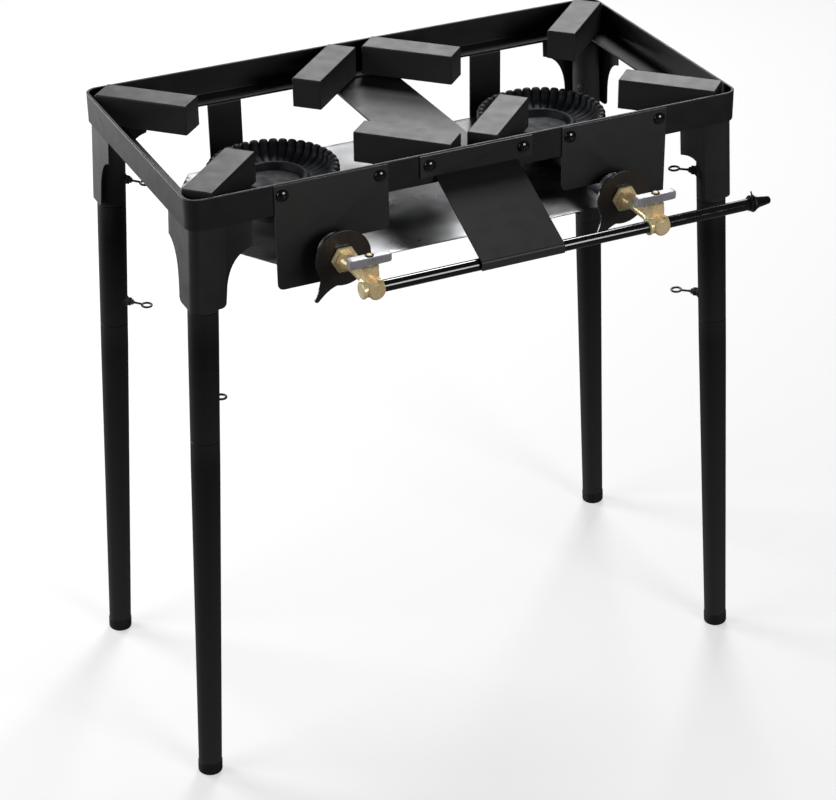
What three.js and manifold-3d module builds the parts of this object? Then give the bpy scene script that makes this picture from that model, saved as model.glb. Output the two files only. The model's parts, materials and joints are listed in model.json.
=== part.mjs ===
// Double propane burner stand: a welded angle-iron table with eight pot supports, two cast-iron
// burners fed by one manifold pipe, and four take-down legs clamped by eye screws.
// Millimetres, +Z up, front towards -Y. The parts are laid out from the middle of the frame, then
// the whole stand is shifted so that the origin is at the bottom centre of its bounding box.
import * as THREE from 'three';
import { mergeVertices } from 'three/addons/utils/BufferGeometryUtils.js';
import { RoundedBoxGeometry } from 'three/addons/geometries/RoundedBoxGeometry.js';
import Module from 'manifold-3d';

const wasm = await Module();
wasm.setup();

// ---- Driving dimensions ----
const frameLength = 640;
const frameWidth = 330;
const frameTop = 710;
const sheetGap = 0.3; // clearance between neighbouring pieces

// Angle-iron ring: upright band outside, flange turned inward at its foot
const bandHeight = 34;
const bandWall = 3;
const flangeWidth = 29;
const frameCornerRadius = 15;

// Corner brackets, bent sheet leaning with the legs, tops nested inside the band line
const bracketWall = 2;
const bracketReach = 70;
const bracketStemWidth = 41;
const bracketShoulder = 29;
const bracketDepth = 92;

// Take-down legs: a welded socket, an upper section and a lower section, splayed outward
const legTopRadius = 16.2;
const legJointRadius = 15.8;
const legFootRadius = 13.2;
const legInset = 21.6; // leg axis inside the frame's outer faces, at the socket's top
const legSplayX = 38; // outward travel of the axis over the stand's height
const legSplayY = 15;
const socketLength = 96.5;
const socketBore = 14.2;
const upperLegLength = 151;
const upperSpigotRadius = 13.8;
const upperSpigotBore = 12.2;
const upperLegBore = 14.3;
const lowerSocketBore = 13.5;
const lowerSpigotRadius = 13.1;
const lowerSpigotBore = 11.5;
const lowerLegBore = 11.6;
const spigotLength = 70;
const footCapHeight = 15;
const footPlugLength = 14;

// Eye screws that clamp the leg sections
const upperScrewDrop = 65; // below the socket's top, along the leg
const lowerScrewDrop = 218;
const screwShankRadius = 2.3;
const screwHoleRadius = 2.7;
const weldNutFlats = 9.5;
const weldNutHeight = 6;
const eyeRadius = 5.6;
const eyeWireRadius = 1.3;
const eyeCentre = 42; // eye centre from the leg axis

// Pot supports
const supportLength = 111;
const supportWidth = 34;
const supportRise = 3; // pot supports stand this far above the band
const supportWall = 2.5;
const midSupportHalfGap = 2.5;

// Burners
const burnerX = 164;
const crownDrop = 55; // crown top below the frame's top
const crownOuter = 74;
const crownInner = 62;
const crownHeight = 9;
const crownLobes = 40;
const venturiDrop = 84; // gas axis below the frame's top
const venturiRadius = 15;
const venturiBore = 11;
const bellRadius = 28;
const bellLength = 20;
const shutterRadius = 31;
const shutterThickness = 3;
const shutterStandoff = 26; // shutter face in front of the band
const shutterHole = 6.6;
const shutterTailLength = 55;
const shutterTailAngle = -126; // degrees from +X, seen from the front

// Gas line
const pipeStandoff = 101; // pipe axis in front of the band
const pipeRadius = 6.3;
const pipeBore = 4.5;
const pipeLeftEnd = -170;
const pipeRightEnd = 273;
const inletLength = 27;
const stemSetback = 9; // lever stem behind the pipe axis
const leverLength = 46;
const leverWidth = 10;
const leverHeight = 10.5;
const leverRise = 22; // lever's underside above the gas axis

// Wind panels, manifold bracket, tray and straps
const panelThickness = 1.5;
const panelInner = 101;
const panelOuter = 228;
const panelLongDrop = 118.5;
const panelShortDrop = 74;
const panelNotchRadius = 19;
const panelLongInner = 157; // inner edge of the long part, just inside the burner's axis
const earHalfWidth = 65;
const tongueHalfWidth = 47.5;
const manifoldBracketWall = 2;
const screwRowDrop = 12;
const screwRowX = [54.5, 110.5, 219];
const domeRadius = 6.8;
const domeHeight = 4.2;
const screwRadius = 2.4;
const trayDrop = 113;
const trayThickness = 1.5;
const trayHalfLength = 235;
const trayChamfer = [44, 71];
const centrePlateWidth = 82;
const plateThickness = 2.5;
const strapWidth = 40;
const strapThickness = 2.5;

// ---- Derived levels and planes ----
const bandBottom = frameTop - bandHeight;
const flangeTop = bandBottom + bandWall;
const bandFront = -frameWidth / 2;
const gasAxisZ = frameTop - venturiDrop;
const pipeY = bandFront - pipeStandoff;
const shutterFront = bandFront - shutterStandoff;
const shutterBack = shutterFront + shutterThickness;
const trayTop = frameTop - trayDrop;
const socketTop = bandBottom - 1.5;

const sides = [-1, 1];
const sideName = { '-1': 'left', 1: 'right' };
const depthName = { '-1': 'front', 1: 'rear' };

// ---- Solid helpers ----
function toSolid(geometry) {
  const bare = geometry.clone();
  bare.deleteAttribute('normal');
  bare.deleteAttribute('uv');
  const merged = mergeVertices(bare, 1e-4);
  const mesh = new wasm.Mesh({
    numProp: 3,
    vertProperties: new Float32Array(merged.attributes.position.array),
    triVerts: new Uint32Array(merged.index.array),
  });
  return new wasm.Manifold(mesh);
}

function toGeometry(solid) {
  const mesh = solid.getMesh();
  const geometry = new THREE.BufferGeometry();
  geometry.setAttribute('position', new THREE.BufferAttribute(new Float32Array(mesh.vertProperties), 3));
  geometry.setIndex(new THREE.BufferAttribute(new Uint32Array(mesh.triVerts), 1));
  geometry.computeVertexNormals();
  return geometry;
}

function join(...geometries) {
  const solids = geometries.map(toSolid);
  return toGeometry(solids.reduce((whole, piece) => whole.add(piece)));
}

function cut(geometry, ...tools) {
  const body = toSolid(geometry);
  return toGeometry(tools.map(toSolid).reduce((whole, tool) => whole.subtract(tool), body));
}

function box(width, depth, height, x = 0, y = 0, z = 0) {
  return new THREE.BoxGeometry(width, depth, height).translate(x, y, z);
}

// A cylinder, cone or prism from one end plane to the other along the named axis
function rod(axis, radiusStart, radiusEnd, start, end, sidesCount = 16, turn = 0) {
  const rodShape = new THREE.CylinderGeometry(radiusEnd, radiusStart, end - start, sidesCount);
  rodShape.rotateY(turn);
  rodShape.translate(0, (start + end) / 2, 0);
  if (axis === 'x') rodShape.rotateZ(-Math.PI / 2);
  if (axis === 'z') rodShape.rotateX(Math.PI / 2);
  return rodShape;
}

function hexRod(axis, acrossFlats, start, end, turn = 0) {
  const corner = acrossFlats / Math.sqrt(3);
  return rod(axis, corner, corner, start, end, 6, turn);
}

// A lathe about +Z from [radius, height] pairs that begin and end on the axis or close on themselves
function turned(profile, segments = 16) {
  const points = profile.map(([radius, height]) => new THREE.Vector2(radius, height));
  return new THREE.LatheGeometry(points, segments).rotateX(Math.PI / 2);
}

// A tube turned about +Z: outer profile down, bore profile back up
function turnedTube(outer, bore, segments = 16) {
  return turned([...bore, ...outer, bore[0]], segments);
}

function extrude(shape, depth, curveSegments = 6) {
  return new THREE.ExtrudeGeometry(shape, { depth, bevelEnabled: false, curveSegments });
}

// Shape drawn in X and Z, thickness towards -Y from the plane y
function uprightPlate(shape, thickness, y, curveSegments = 6) {
  return extrude(shape, thickness, curveSegments).rotateX(Math.PI / 2).translate(0, y, 0);
}

// Shape drawn in Y and Z, spread along X about the plane x
function crossExtrusion(shape, width, x = 0) {
  const turn = new THREE.Matrix4().makeBasis(
    new THREE.Vector3(0, 1, 0),
    new THREE.Vector3(0, 0, 1),
    new THREE.Vector3(1, 0, 0),
  );
  return extrude(shape, width).applyMatrix4(turn).translate(x - width / 2, 0, 0);
}

function polygon(points) {
  return new THREE.Shape(points.map(([x, y]) => new THREE.Vector2(x, y)));
}

function roundedRectangle(halfX, halfY, radius) {
  const shape = new THREE.Shape();
  shape.absarc(halfX - radius, halfY - radius, radius, 0, Math.PI / 2);
  shape.absarc(radius - halfX, halfY - radius, radius, Math.PI / 2, Math.PI);
  shape.absarc(radius - halfX, radius - halfY, radius, Math.PI, 1.5 * Math.PI);
  shape.absarc(halfX - radius, radius - halfY, radius, 1.5 * Math.PI, 2 * Math.PI);
  shape.closePath();
  return shape;
}

// ---- Materials ----
function painted(color, roughness = 0.55) {
  return new THREE.MeshStandardMaterial({ color, roughness, metalness: 0.2 });
}

function metal(color, roughness = 0.3) {
  return new THREE.MeshStandardMaterial({ color, roughness, metalness: 1 });
}

const stand = new THREE.Group();

function place(name, geometry, material, parent = stand) {
  const mesh = new THREE.Mesh(geometry, material);
  mesh.name = name;
  parent.add(mesh);
  return mesh;
}

// ---- Frame ----
function frameRing() {
  const halfX = frameLength / 2;
  const halfY = frameWidth / 2;
  const band = roundedRectangle(halfX, halfY, frameCornerRadius);
  band.holes.push(roundedRectangle(halfX - bandWall, halfY - bandWall, frameCornerRadius - bandWall));
  const flangeEdge = bandWall / 2;
  const flange = roundedRectangle(halfX - flangeEdge, halfY - flangeEdge, frameCornerRadius - flangeEdge);
  flange.holes.push(roundedRectangle(halfX - flangeWidth, halfY - flangeWidth, bandWall));
  const ring = join(
    extrude(band, bandHeight, 3).translate(0, 0, bandBottom),
    extrude(flange, bandWall, 3).translate(0, 0, bandBottom),
  );
  return cut(ring, ...screwHoles(screwRowX));
}

function screwHoles(rowX) {
  const holeRadius = screwRadius + sheetGap;
  const hole = (x) => rod('y', holeRadius, holeRadius, bandFront - 8, bandFront + 8, 12)
    .translate(x, 0, frameTop - screwRowDrop);
  return rowX.flatMap((x) => sides.map((side) => hole(side * x)));
}

// Elevation of what is cut away beside one bracket flange: a hollow sweep from shoulder to stem
function bracketRelief() {
  const relief = new THREE.Shape();
  const far = bracketReach + 20;
  const stemRound = 7;
  relief.moveTo(bracketReach, -bracketShoulder);
  relief.quadraticCurveTo(
    bracketStemWidth + 5,
    -bracketShoulder - 5,
    bracketStemWidth + 1,
    -bracketDepth + 26,
  );
  relief.lineTo(bracketStemWidth, -bracketDepth + stemRound);
  relief.quadraticCurveTo(bracketStemWidth, -bracketDepth, bracketStemWidth - stemRound, -bracketDepth);
  relief.lineTo(bracketStemWidth - stemRound, -bracketDepth - 10);
  relief.lineTo(far, -bracketDepth - 10);
  relief.lineTo(far, -bracketShoulder);
  relief.closePath();
  return relief;
}

// One corner bracket for the corner at the origin, reaching along +X and +Y, top at z = 0.
// It is sheared outward so that its walls run beside the splayed leg.
function cornerBracket() {
  const outerRadius = frameCornerRadius - bandWall;
  const innerRadius = outerRadius - bracketWall;
  const near = bandWall;
  const plan = new THREE.Shape();
  plan.moveTo(bracketReach, near);
  plan.lineTo(bracketReach, near + bracketWall);
  plan.lineTo(near + outerRadius, near + bracketWall);
  plan.absarc(near + outerRadius, near + outerRadius, innerRadius, 1.5 * Math.PI, Math.PI, true);
  plan.lineTo(near + bracketWall, bracketReach);
  plan.lineTo(near, bracketReach);
  plan.lineTo(near, near + outerRadius);
  plan.absarc(near + outerRadius, near + outerRadius, outerRadius, Math.PI, 1.5 * Math.PI, false);
  plan.closePath();
  const sheet = extrude(plan, bracketDepth).translate(0, 0, -bracketDepth);
  const reliefDepth = 4 * near;
  const frontRelief = extrude(bracketRelief(), reliefDepth, 8)
    .rotateX(Math.PI / 2)
    .translate(0, near + bracketWall + 1, 0);
  const mirrorAcross = new THREE.Matrix4().makeBasis(
    new THREE.Vector3(0, 1, 0),
    new THREE.Vector3(0, 0, 1),
    new THREE.Vector3(1, 0, 0),
  );
  const sideRelief = extrude(bracketRelief(), reliefDepth, 8)
    .applyMatrix4(mirrorAcross)
    .translate(near + bracketWall + 1 - reliefDepth, 0, 0);
  const lean = new THREE.Matrix4().makeShear(0, 0, 0, 0, legSplayX / frameTop, legSplayY / frameTop);
  return cut(sheet, frontRelief, sideRelief).applyMatrix4(lean);
}

// Mirrors a solid so that its faces still point out
function mirrored(geometry, mirrorX, mirrorY) {
  const copy = geometry.clone().scale(mirrorX ? -1 : 1, mirrorY ? -1 : 1, 1);
  if (mirrorX !== mirrorY) {
    const index = copy.index.array;
    for (let i = 0; i < index.length; i += 3) {
      [index[i], index[i + 1]] = [index[i + 1], index[i]];
    }
  }
  copy.computeVertexNormals();
  return copy;
}

function addFrame() {
  const black = 0x1d1d1f;
  place('frame_ring', frameRing(), painted(black));
  const bracket = cornerBracket();
  for (const sideX of sides) {
    for (const sideY of sides) {
      const mesh = place(
        `corner_bracket_${depthName[sideY]}_${sideName[sideX]}`,
        mirrored(bracket, sideX > 0, sideY > 0),
        painted(black),
      );
      mesh.position.set(sideX * frameLength / 2, sideY * frameWidth / 2, bandBottom - sheetGap);
    }
  }
  const plateLength = frameWidth - 2 * 22;
  place(
    'centre_plate',
    box(centrePlateWidth, plateLength, plateThickness, 0, 0, bandBottom - sheetGap - plateThickness / 2),
    painted(0x2a2a2c),
  );
}

// ---- Pot supports ----
// A folded channel with closed ends and an open underside, running along +X from its outer end
function potSupport() {
  const height = frameTop + supportRise - flangeTop - sheetGap;
  const shell = new RoundedBoxGeometry(supportLength, supportWidth, height, 1, 1.6);
  const cavity = box(
    supportLength - 2 * supportWall,
    supportWidth - 2 * supportWall,
    height,
    0,
    0,
    -supportWall,
  );
  return cut(shell, cavity).translate(supportLength / 2, 0, flangeTop + sheetGap + height / 2);
}

function addPotSupports() {
  const channel = potSupport();
  const endHalf = supportWidth / 2 / Math.SQRT2;
  const reachX = frameLength / 2 - bandWall - endHalf - 0.4;
  const reachY = frameWidth / 2 - bandWall - endHalf - 0.4;
  for (const sideX of sides) {
    for (const sideY of sides) {
      const where = `${depthName[sideY]}_${sideName[sideX]}`;
      const cornerArm = place(`pot_support_${where}_corner`, channel, painted(0x3a3a3c));
      cornerArm.position.set(sideX * reachX, sideY * reachY, 0);
      cornerArm.rotation.z = Math.atan2(-sideY, -sideX);
      const midArm = place(`pot_support_${where}_middle`, channel, painted(0x3a3a3c));
      midArm.position.set(sideX * (midSupportHalfGap + endHalf), sideY * reachY, 0);
      midArm.rotation.z = Math.atan2(-sideY, sideX);
    }
  }
}

// ---- Legs ----
function weldNut(radius, drop) {
  const nutStart = radius - 1.3;
  return hexRod('x', weldNutFlats, nutStart, radius + weldNutHeight).translate(0, 0, -drop);
}

function screwBore(radius, drop) {
  return rod('x', screwHoleRadius, screwHoleRadius, 5, radius + weldNutHeight + 5, 12).translate(0, 0, -drop);
}

function legSocket() {
  const tube = turnedTube(
    [[legTopRadius, -socketLength], [legTopRadius, 0]],
    [[socketBore, 0], [socketBore, -socketLength]],
  );
  return cut(join(tube, weldNut(legTopRadius, upperScrewDrop)), screwBore(legTopRadius, upperScrewDrop));
}

const upperLegTop = -socketLength - sheetGap;
const upperLegBottom = upperLegTop - upperLegLength;
const lowerLegTop = upperLegBottom - sheetGap;

function upperLeg() {
  const spigotTop = upperLegTop + spigotLength;
  const counterbore = upperLegBottom + spigotLength + 4;
  const tube = turnedTube(
    [
      [legJointRadius, upperLegBottom],
      [legTopRadius, upperLegTop - 40],
      [legTopRadius, upperLegTop],
      [upperSpigotRadius, upperLegTop],
      [upperSpigotRadius, spigotTop - 2],
      [upperSpigotRadius - 0.8, spigotTop],
    ],
    [
      [upperSpigotBore, spigotTop],
      [upperSpigotBore, upperLegTop - 3],
      [upperLegBore, upperLegTop - 6],
      [upperLegBore, counterbore + 2],
      [lowerSocketBore, counterbore],
      [lowerSocketBore, upperLegBottom],
    ],
  );
  return cut(
    join(tube, weldNut(legJointRadius, lowerScrewDrop)),
    screwBore(legJointRadius, lowerScrewDrop),
  );
}

function lowerLeg(lowerEnd) {
  const spigotTop = lowerLegTop + spigotLength;
  return turnedTube(
    [
      [legFootRadius, lowerEnd],
      [legJointRadius, lowerLegTop - 30],
      [legJointRadius, lowerLegTop],
      [lowerSpigotRadius, lowerLegTop],
      [lowerSpigotRadius, spigotTop - 2],
      [lowerSpigotRadius - 0.8, spigotTop],
    ],
    [[lowerSpigotBore, spigotTop], [lowerLegBore, lowerEnd]],
  );
}

// A plug-in cap whose sole is cut level with the floor
function footCap(lowerEnd, groundPlane) {
  const plug = lowerLegBore - sheetGap;
  const rim = legFootRadius + 0.6;
  const cap = turned([
    [0, lowerEnd - footCapHeight - 4],
    [rim - 2, lowerEnd - footCapHeight - 4],
    [rim - 2, lowerEnd - footCapHeight],
    [rim, lowerEnd - footCapHeight + 4],
    [rim, lowerEnd - sheetGap - 1],
    [rim - 1, lowerEnd - sheetGap],
    [plug, lowerEnd - sheetGap],
    [plug, lowerEnd + footPlugLength],
    [0, lowerEnd + footPlugLength],
  ]);
  return cut(cap, groundPlane);
}

// The clamp screw lies along +X from the leg axis and ends in a flat wire eye
function eyeScrew(spigotRadius, tubeRadius) {
  const tip = spigotRadius + 0.4;
  const collar = tubeRadius + weldNutHeight + 0.5;
  const eye = new THREE.TorusGeometry(eyeRadius, eyeWireRadius, 5, 12).translate(eyeCentre, 0, 0);
  return join(
    rod('x', screwShankRadius, screwShankRadius, tip, collar + 1, 8),
    rod('x', 3.6, 3.6, collar, collar + 2, 8),
    rod('x', screwShankRadius * 0.75, eyeWireRadius, collar + 1, eyeCentre - eyeRadius + 0.6, 6),
    eye,
  );
}

function addLegs() {
  const black = painted(0x161617, 0.5);
  const travel = new THREE.Vector3(legSplayX, legSplayY, -frameTop);
  const legLength = socketTop * travel.length() / frameTop;
  const lowerEnd = -(legLength - footCapHeight);
  const socket = legSocket();
  const upper = upperLeg();
  const lower = lowerLeg(lowerEnd);
  const upperScrew = eyeScrew(upperSpigotRadius, legTopRadius);
  const lowerScrew = eyeScrew(lowerSpigotRadius, legJointRadius);
  for (const sideX of sides) {
    for (const sideY of sides) {
      const where = `${depthName[sideY]}_${sideName[sideX]}`;
      const leg = new THREE.Group();
      const direction = new THREE.Vector3(sideX * legSplayX, sideY * legSplayY, -frameTop).normalize();
      leg.quaternion.setFromUnitVectors(new THREE.Vector3(0, 0, -1), direction);
      leg.position.set(
        sideX * (frameLength / 2 - legInset),
        sideY * (frameWidth / 2 - legInset),
        socketTop,
      );
      leg.updateMatrixWorld(true);
      stand.add(leg);
      const inward = Math.atan2(-sideY, -sideX);
      const ground = box(200, 200, 40, 0, 0, -20)
        .translate(sideX * frameLength / 2, sideY * frameWidth / 2, 0)
        .applyMatrix4(leg.matrixWorld.clone().invert());
      place(`leg_socket_${where}`, socket, black.clone(), leg).rotation.z = inward;
      place(`leg_upper_${where}`, upper, black.clone(), leg).rotation.z = inward;
      place(`leg_lower_${where}`, lower, black.clone(), leg);
      place(`foot_cap_${where}`, footCap(lowerEnd, ground), painted(0x0c0c0c, 0.8), leg);
      const screws = [['upper', upperScrew, upperScrewDrop], ['lower', lowerScrew, lowerScrewDrop]];
      for (const [level, screw, drop] of screws) {
        const mesh = place(`eye_screw_${level}_${where}`, screw, painted(0x101010, 0.35), leg);
        mesh.position.z = -drop;
        mesh.rotation.z = inward;
      }
    }
  }
}

// ---- Burners ----
// Top view of the scalloped crown: equal round lobes on a circle
function crownOutline(baseRadius, lobeHeight, direction) {
  const steps = crownLobes * 2;
  const shape = new THREE.Path();
  for (let i = 0; i < steps; i += 1) {
    const angle = direction * (i / steps) * 2 * Math.PI;
    const radius = baseRadius + lobeHeight * Math.abs(Math.sin(angle * crownLobes / 2));
    const point = [radius * Math.cos(angle), radius * Math.sin(angle)];
    if (i === 0) shape.moveTo(...point);
    else shape.lineTo(...point);
  }
  shape.closePath();
  return shape;
}

function burnerCasting() {
  const crownTop = frameTop - crownDrop;
  const seat = crownTop - crownHeight;
  const foot = trayTop + sheetGap;
  const bowl = turned([
    [0, foot],
    [26, foot],
    [26, foot + 6],
    [34, foot + 10],
    [crownOuter - 6, seat - 18],
    [crownOuter, seat - 10],
    [crownOuter, seat],
    [crownInner - 1, seat],
    [crownInner - 6, seat - 6],
    [42, seat - 9],
    [38, seat - 5],
    [32, seat - 5],
    [30, seat - 10],
    [0, seat - 12],
  ], 36);
  const crown = new THREE.Shape(crownOutline(crownOuter - 3, 3, 1).getPoints());
  crown.holes.push(crownOutline(crownInner + 2, -2, -1));
  const crownRing = extrude(crown, crownHeight + 1).translate(0, 0, seat - 1);
  const throat = rod('y', venturiRadius, venturiRadius, shutterBack + bellLength, -20)
    .translate(0, 0, gasAxisZ);
  const bell = rod('y', bellRadius, venturiRadius, shutterBack + sheetGap, shutterBack + bellLength)
    .translate(0, 0, gasAxisZ);
  const bellMouth = rod('y', bellRadius - 3, venturiBore, shutterBack, shutterBack + bellLength)
    .translate(0, 0, gasAxisZ);
  const bore = rod('y', venturiBore, venturiBore, shutterBack + bellLength - 1, 0)
    .translate(0, 0, gasAxisZ);
  return cut(join(bowl, crownRing, throat, bell), bellMouth, bore);
}

// Round damper plate with a pointed finger tail, centred on the gas axis
function airShutter() {
  const disc = new THREE.Shape();
  disc.absarc(0, 0, shutterRadius, 0, 2 * Math.PI);
  const hole = new THREE.Path();
  hole.absarc(0, 0, shutterHole, 0, 2 * Math.PI, true);
  disc.holes.push(hole);
  const rootAngle = THREE.MathUtils.degToRad(19);
  const rootRadius = shutterRadius - 1;
  const rootX = rootRadius * Math.cos(rootAngle);
  const rootY = rootRadius * Math.sin(rootAngle);
  const tipRadius = 3;
  const tipX = shutterTailLength - tipRadius;
  const tail = new THREE.Shape();
  tail.moveTo(rootX - 6, -rootY);
  tail.lineTo(rootX, -rootY);
  tail.quadraticCurveTo(rootX + 10, -4.5, tipX, -tipRadius);
  tail.absarc(tipX, 0, tipRadius, -Math.PI / 2, Math.PI / 2, false);
  tail.quadraticCurveTo(rootX + 10, 4.5, rootX, rootY);
  tail.lineTo(rootX - 6, rootY);
  tail.closePath();
  const finger = extrude(tail, shutterThickness, 5)
    .rotateZ(THREE.MathUtils.degToRad(shutterTailAngle));
  return join(extrude(disc, shutterThickness, 20), finger).rotateX(Math.PI / 2);
}

function addBurners() {
  const casting = burnerCasting();
  const shutter = airShutter();
  for (const side of sides) {
    place(`burner_${sideName[side]}`, casting, painted(0x222428, 0.7)).position.x = side * burnerX;
    place(`air_shutter_${sideName[side]}`, shutter, painted(0x1b1917, 0.4))
      .position.set(side * burnerX, shutterBack - sheetGap / 2, gasAxisZ);
  }
}

// ---- Gas line ----
// Needle valve in its own frame: the gas axis along Y, the pipe saddle at the origin, outlet to +Y
function valveBody() {
  const outlet = shutterFront - pipeY - sheetGap;
  const body = join(
    rod('x', 8.2, 8.2, -14, 9.5),
    rod('x', 9.2, 9.2, -14, -11),
    rod('y', 9.5, 9.5, -10, 16),
    rod('y', 7.5, 5.6, 15, 26, 12),
    rod('y', 5.6, 5.6, 25, outlet - 13, 12),
    rod('y', 6, 9.5, outlet - 18, outlet - 11, 12),
    hexRod('y', 19, outlet - 12, outlet - 4),
    hexRod('y', 26, outlet - 5, outlet - 1.2),
    rod('y', 6, 4.5, outlet - 2, outlet + 16, 12),
    box(15, 15, 16, 0, stemSetback, 10),
    rod('z', 9.5, 9.5, 17, leverRise - sheetGap).translate(0, stemSetback, 0),
    rod('z', 3, 3, leverRise - 1, leverRise + leverHeight + 1.2, 12).translate(0, stemSetback, 0),
  );
  const pipeSeat = rod('x', pipeRadius + sheetGap, pipeRadius + sheetGap, -7, 30);
  return [body, pipeSeat];
}

function addValves() {
  const brass = 0xd8b569;
  const [body, blindSeat] = valveBody();
  const throughSeat = rod('x', pipeRadius + sheetGap, pipeRadius + sheetGap, -30, 30);
  const lever = cut(
    new RoundedBoxGeometry(leverLength, leverWidth, leverHeight, 1, 1.2),
    rod('z', 3.3, 3.3, -leverHeight, leverHeight, 12),
  );
  for (const side of sides) {
    const valve = new THREE.Group();
    valve.position.set(side * burnerX, pipeY, gasAxisZ);
    stand.add(valve);
    const seat = side < 0 ? blindSeat : throughSeat;
    place(`valve_body_${sideName[side]}`, cut(body, seat), metal(brass), valve);
    place(`valve_lever_${sideName[side]}`, lever, metal(0xc9ccd0, 0.25), valve)
      .position.set(0, stemSetback, leverRise + leverHeight / 2);
  }
}

function addManifold() {
  const pipe = turnedTube(
    [[pipeRadius, pipeLeftEnd], [pipeRadius, pipeRightEnd]],
    [[pipeBore, pipeRightEnd], [pipeBore, pipeLeftEnd]],
  ).rotateY(Math.PI / 2);
  place('manifold_pipe', pipe, painted(0x0e0e10, 0.15)).position.set(0, pipeY, gasAxisZ);
  const inletEnd = pipeRightEnd + inletLength;
  const spigotBore = 2.5;
  const inlet = turnedTube(
    [
      [pipeBore - sheetGap, pipeRightEnd - 12],
      [pipeBore - sheetGap, pipeRightEnd + sheetGap],
      [pipeRadius + 1.2, pipeRightEnd + sheetGap],
      [pipeRadius + 1.2, pipeRightEnd + 10],
      [pipeRadius - 0.5, pipeRightEnd + 13],
      [pipeRadius - 2.4, inletEnd],
    ],
    [[spigotBore, inletEnd], [spigotBore, pipeRightEnd - 12]],
  ).rotateY(Math.PI / 2);
  place('gas_inlet_fitting', inlet, painted(0x121214, 0.3)).position.set(0, pipeY, gasAxisZ);
  place('manifold_bracket', manifoldBracket(), painted(0x1f1f21));
}

// Folded sheet: ears screwed to the band, a sloping tongue, and a lip down the front of the pipe
function manifoldBracket() {
  const wall = manifoldBracketWall;
  const face = bandFront - sheetGap;
  const earBottom = frameTop - 26;
  const lipFront = pipeY - pipeRadius - 1.5;
  const lipTop = gasAxisZ + 5;
  const lipBottom = gasAxisZ - pipeRadius / 2;
  const tongue = crossExtrusion(polygon([
    [face, frameTop - 1],
    [face - wall, frameTop - 1],
    [face - wall, earBottom],
    [lipFront - wall, lipTop],
    [lipFront - wall, lipBottom],
    [lipFront, lipBottom],
    [lipFront, lipTop - 1],
    [face, earBottom - 2],
  ]), 2 * earHalfWidth);
  const trimWidth = 30;
  const trimDepth = 140;
  const trimX = tongueHalfWidth + trimWidth / 2;
  const trimY = face - wall - 0.5 - trimDepth / 2;
  const sideTrim = (side) => box(trimWidth, trimDepth, 120, side * trimX, trimY, frameTop - 60);
  const cornerTrim = (side) => box(trimWidth, 20, 40, side * trimX, face - 5, earBottom - 20);
  const trims = sides.flatMap((side) => [sideTrim(side), cornerTrim(side)]);
  return cut(tongue, ...trims, ...screwHoles([screwRowX[0]]));
}

// ---- Sheet parts ----
// Wind panel for the right-hand burner: short inner part, long outer part, and between them a
// hook-shaped notch round the venturi
function windPanel() {
  const top = frameTop - 1;
  const shortBottom = frameTop - panelShortDrop;
  const longBottom = frameTop - panelLongDrop;
  const round = 8;
  const notchAngle = Math.asin((shortBottom - gasAxisZ) / panelNotchRadius);
  const notchX = burnerX - panelNotchRadius * Math.cos(notchAngle);
  const hookAngle = -Math.acos((panelLongInner - burnerX) / panelNotchRadius);
  const panel = new THREE.Shape();
  panel.moveTo(panelInner, top);
  panel.lineTo(panelInner, shortBottom + round);
  panel.quadraticCurveTo(panelInner, shortBottom, panelInner + round, shortBottom);
  panel.lineTo(notchX, shortBottom);
  panel.absarc(burnerX, gasAxisZ, panelNotchRadius, Math.PI - notchAngle, hookAngle, true);
  panel.lineTo(panelLongInner, longBottom);
  panel.lineTo(panelOuter - round, longBottom);
  panel.quadraticCurveTo(panelOuter, longBottom, panelOuter, longBottom + round);
  panel.lineTo(panelOuter, top);
  panel.closePath();
  const sheet = uprightPlate(panel, panelThickness, bandFront - sheetGap, 5);
  return cut(sheet, ...screwHoles(screwRowX.slice(1)));
}

// Heat-shield tray: flat sheet with clipped corners under both burners
function heatShieldTray() {
  const front = bandFront + 18;
  const back = frameWidth / 2 - 25;
  const [clipX, clipY] = trayChamfer;
  const half = trayHalfLength;
  const outline = polygon([
    [clipX - half, front],
    [half - clipX, front],
    [half, front + clipY],
    [half, back - clipY / 2],
    [half - clipX / 2, back],
    [clipX / 2 - half, back],
    [-half, back - clipY / 2],
    [-half, front + clipY],
  ]);
  return extrude(outline, trayThickness).translate(0, 0, trayTop - trayThickness);
}

// Strap hung under the rear flange, down behind the burner and forward under the tray
function hangerStrap() {
  const t = strapThickness;
  const top = bandBottom - sheetGap;
  const back = frameWidth / 2 - 21;
  const bottom = trayTop - trayThickness - sheetGap;
  return crossExtrusion(polygon([
    [back + 16, top],
    [back - t, top],
    [back - t, bottom],
    [back - 50, bottom],
    [back - 50, bottom - t],
    [back, bottom - t],
    [back, top - t],
    [back + 16, top - t],
  ]), strapWidth);
}

function domeScrew(faceY) {
  const dome = turned([
    [0, -(bandFront - faceY) - 10],
    [screwRadius, -(bandFront - faceY) - 10],
    [screwRadius, 0],
    [domeRadius, 0],
    [domeRadius, 0.8],
    [domeRadius * 0.82, domeHeight * 0.66],
    [domeRadius * 0.45, domeHeight * 0.94],
    [0, domeHeight],
  ], 12);
  return dome.rotateX(Math.PI / 2).translate(0, faceY, 0);
}

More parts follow.
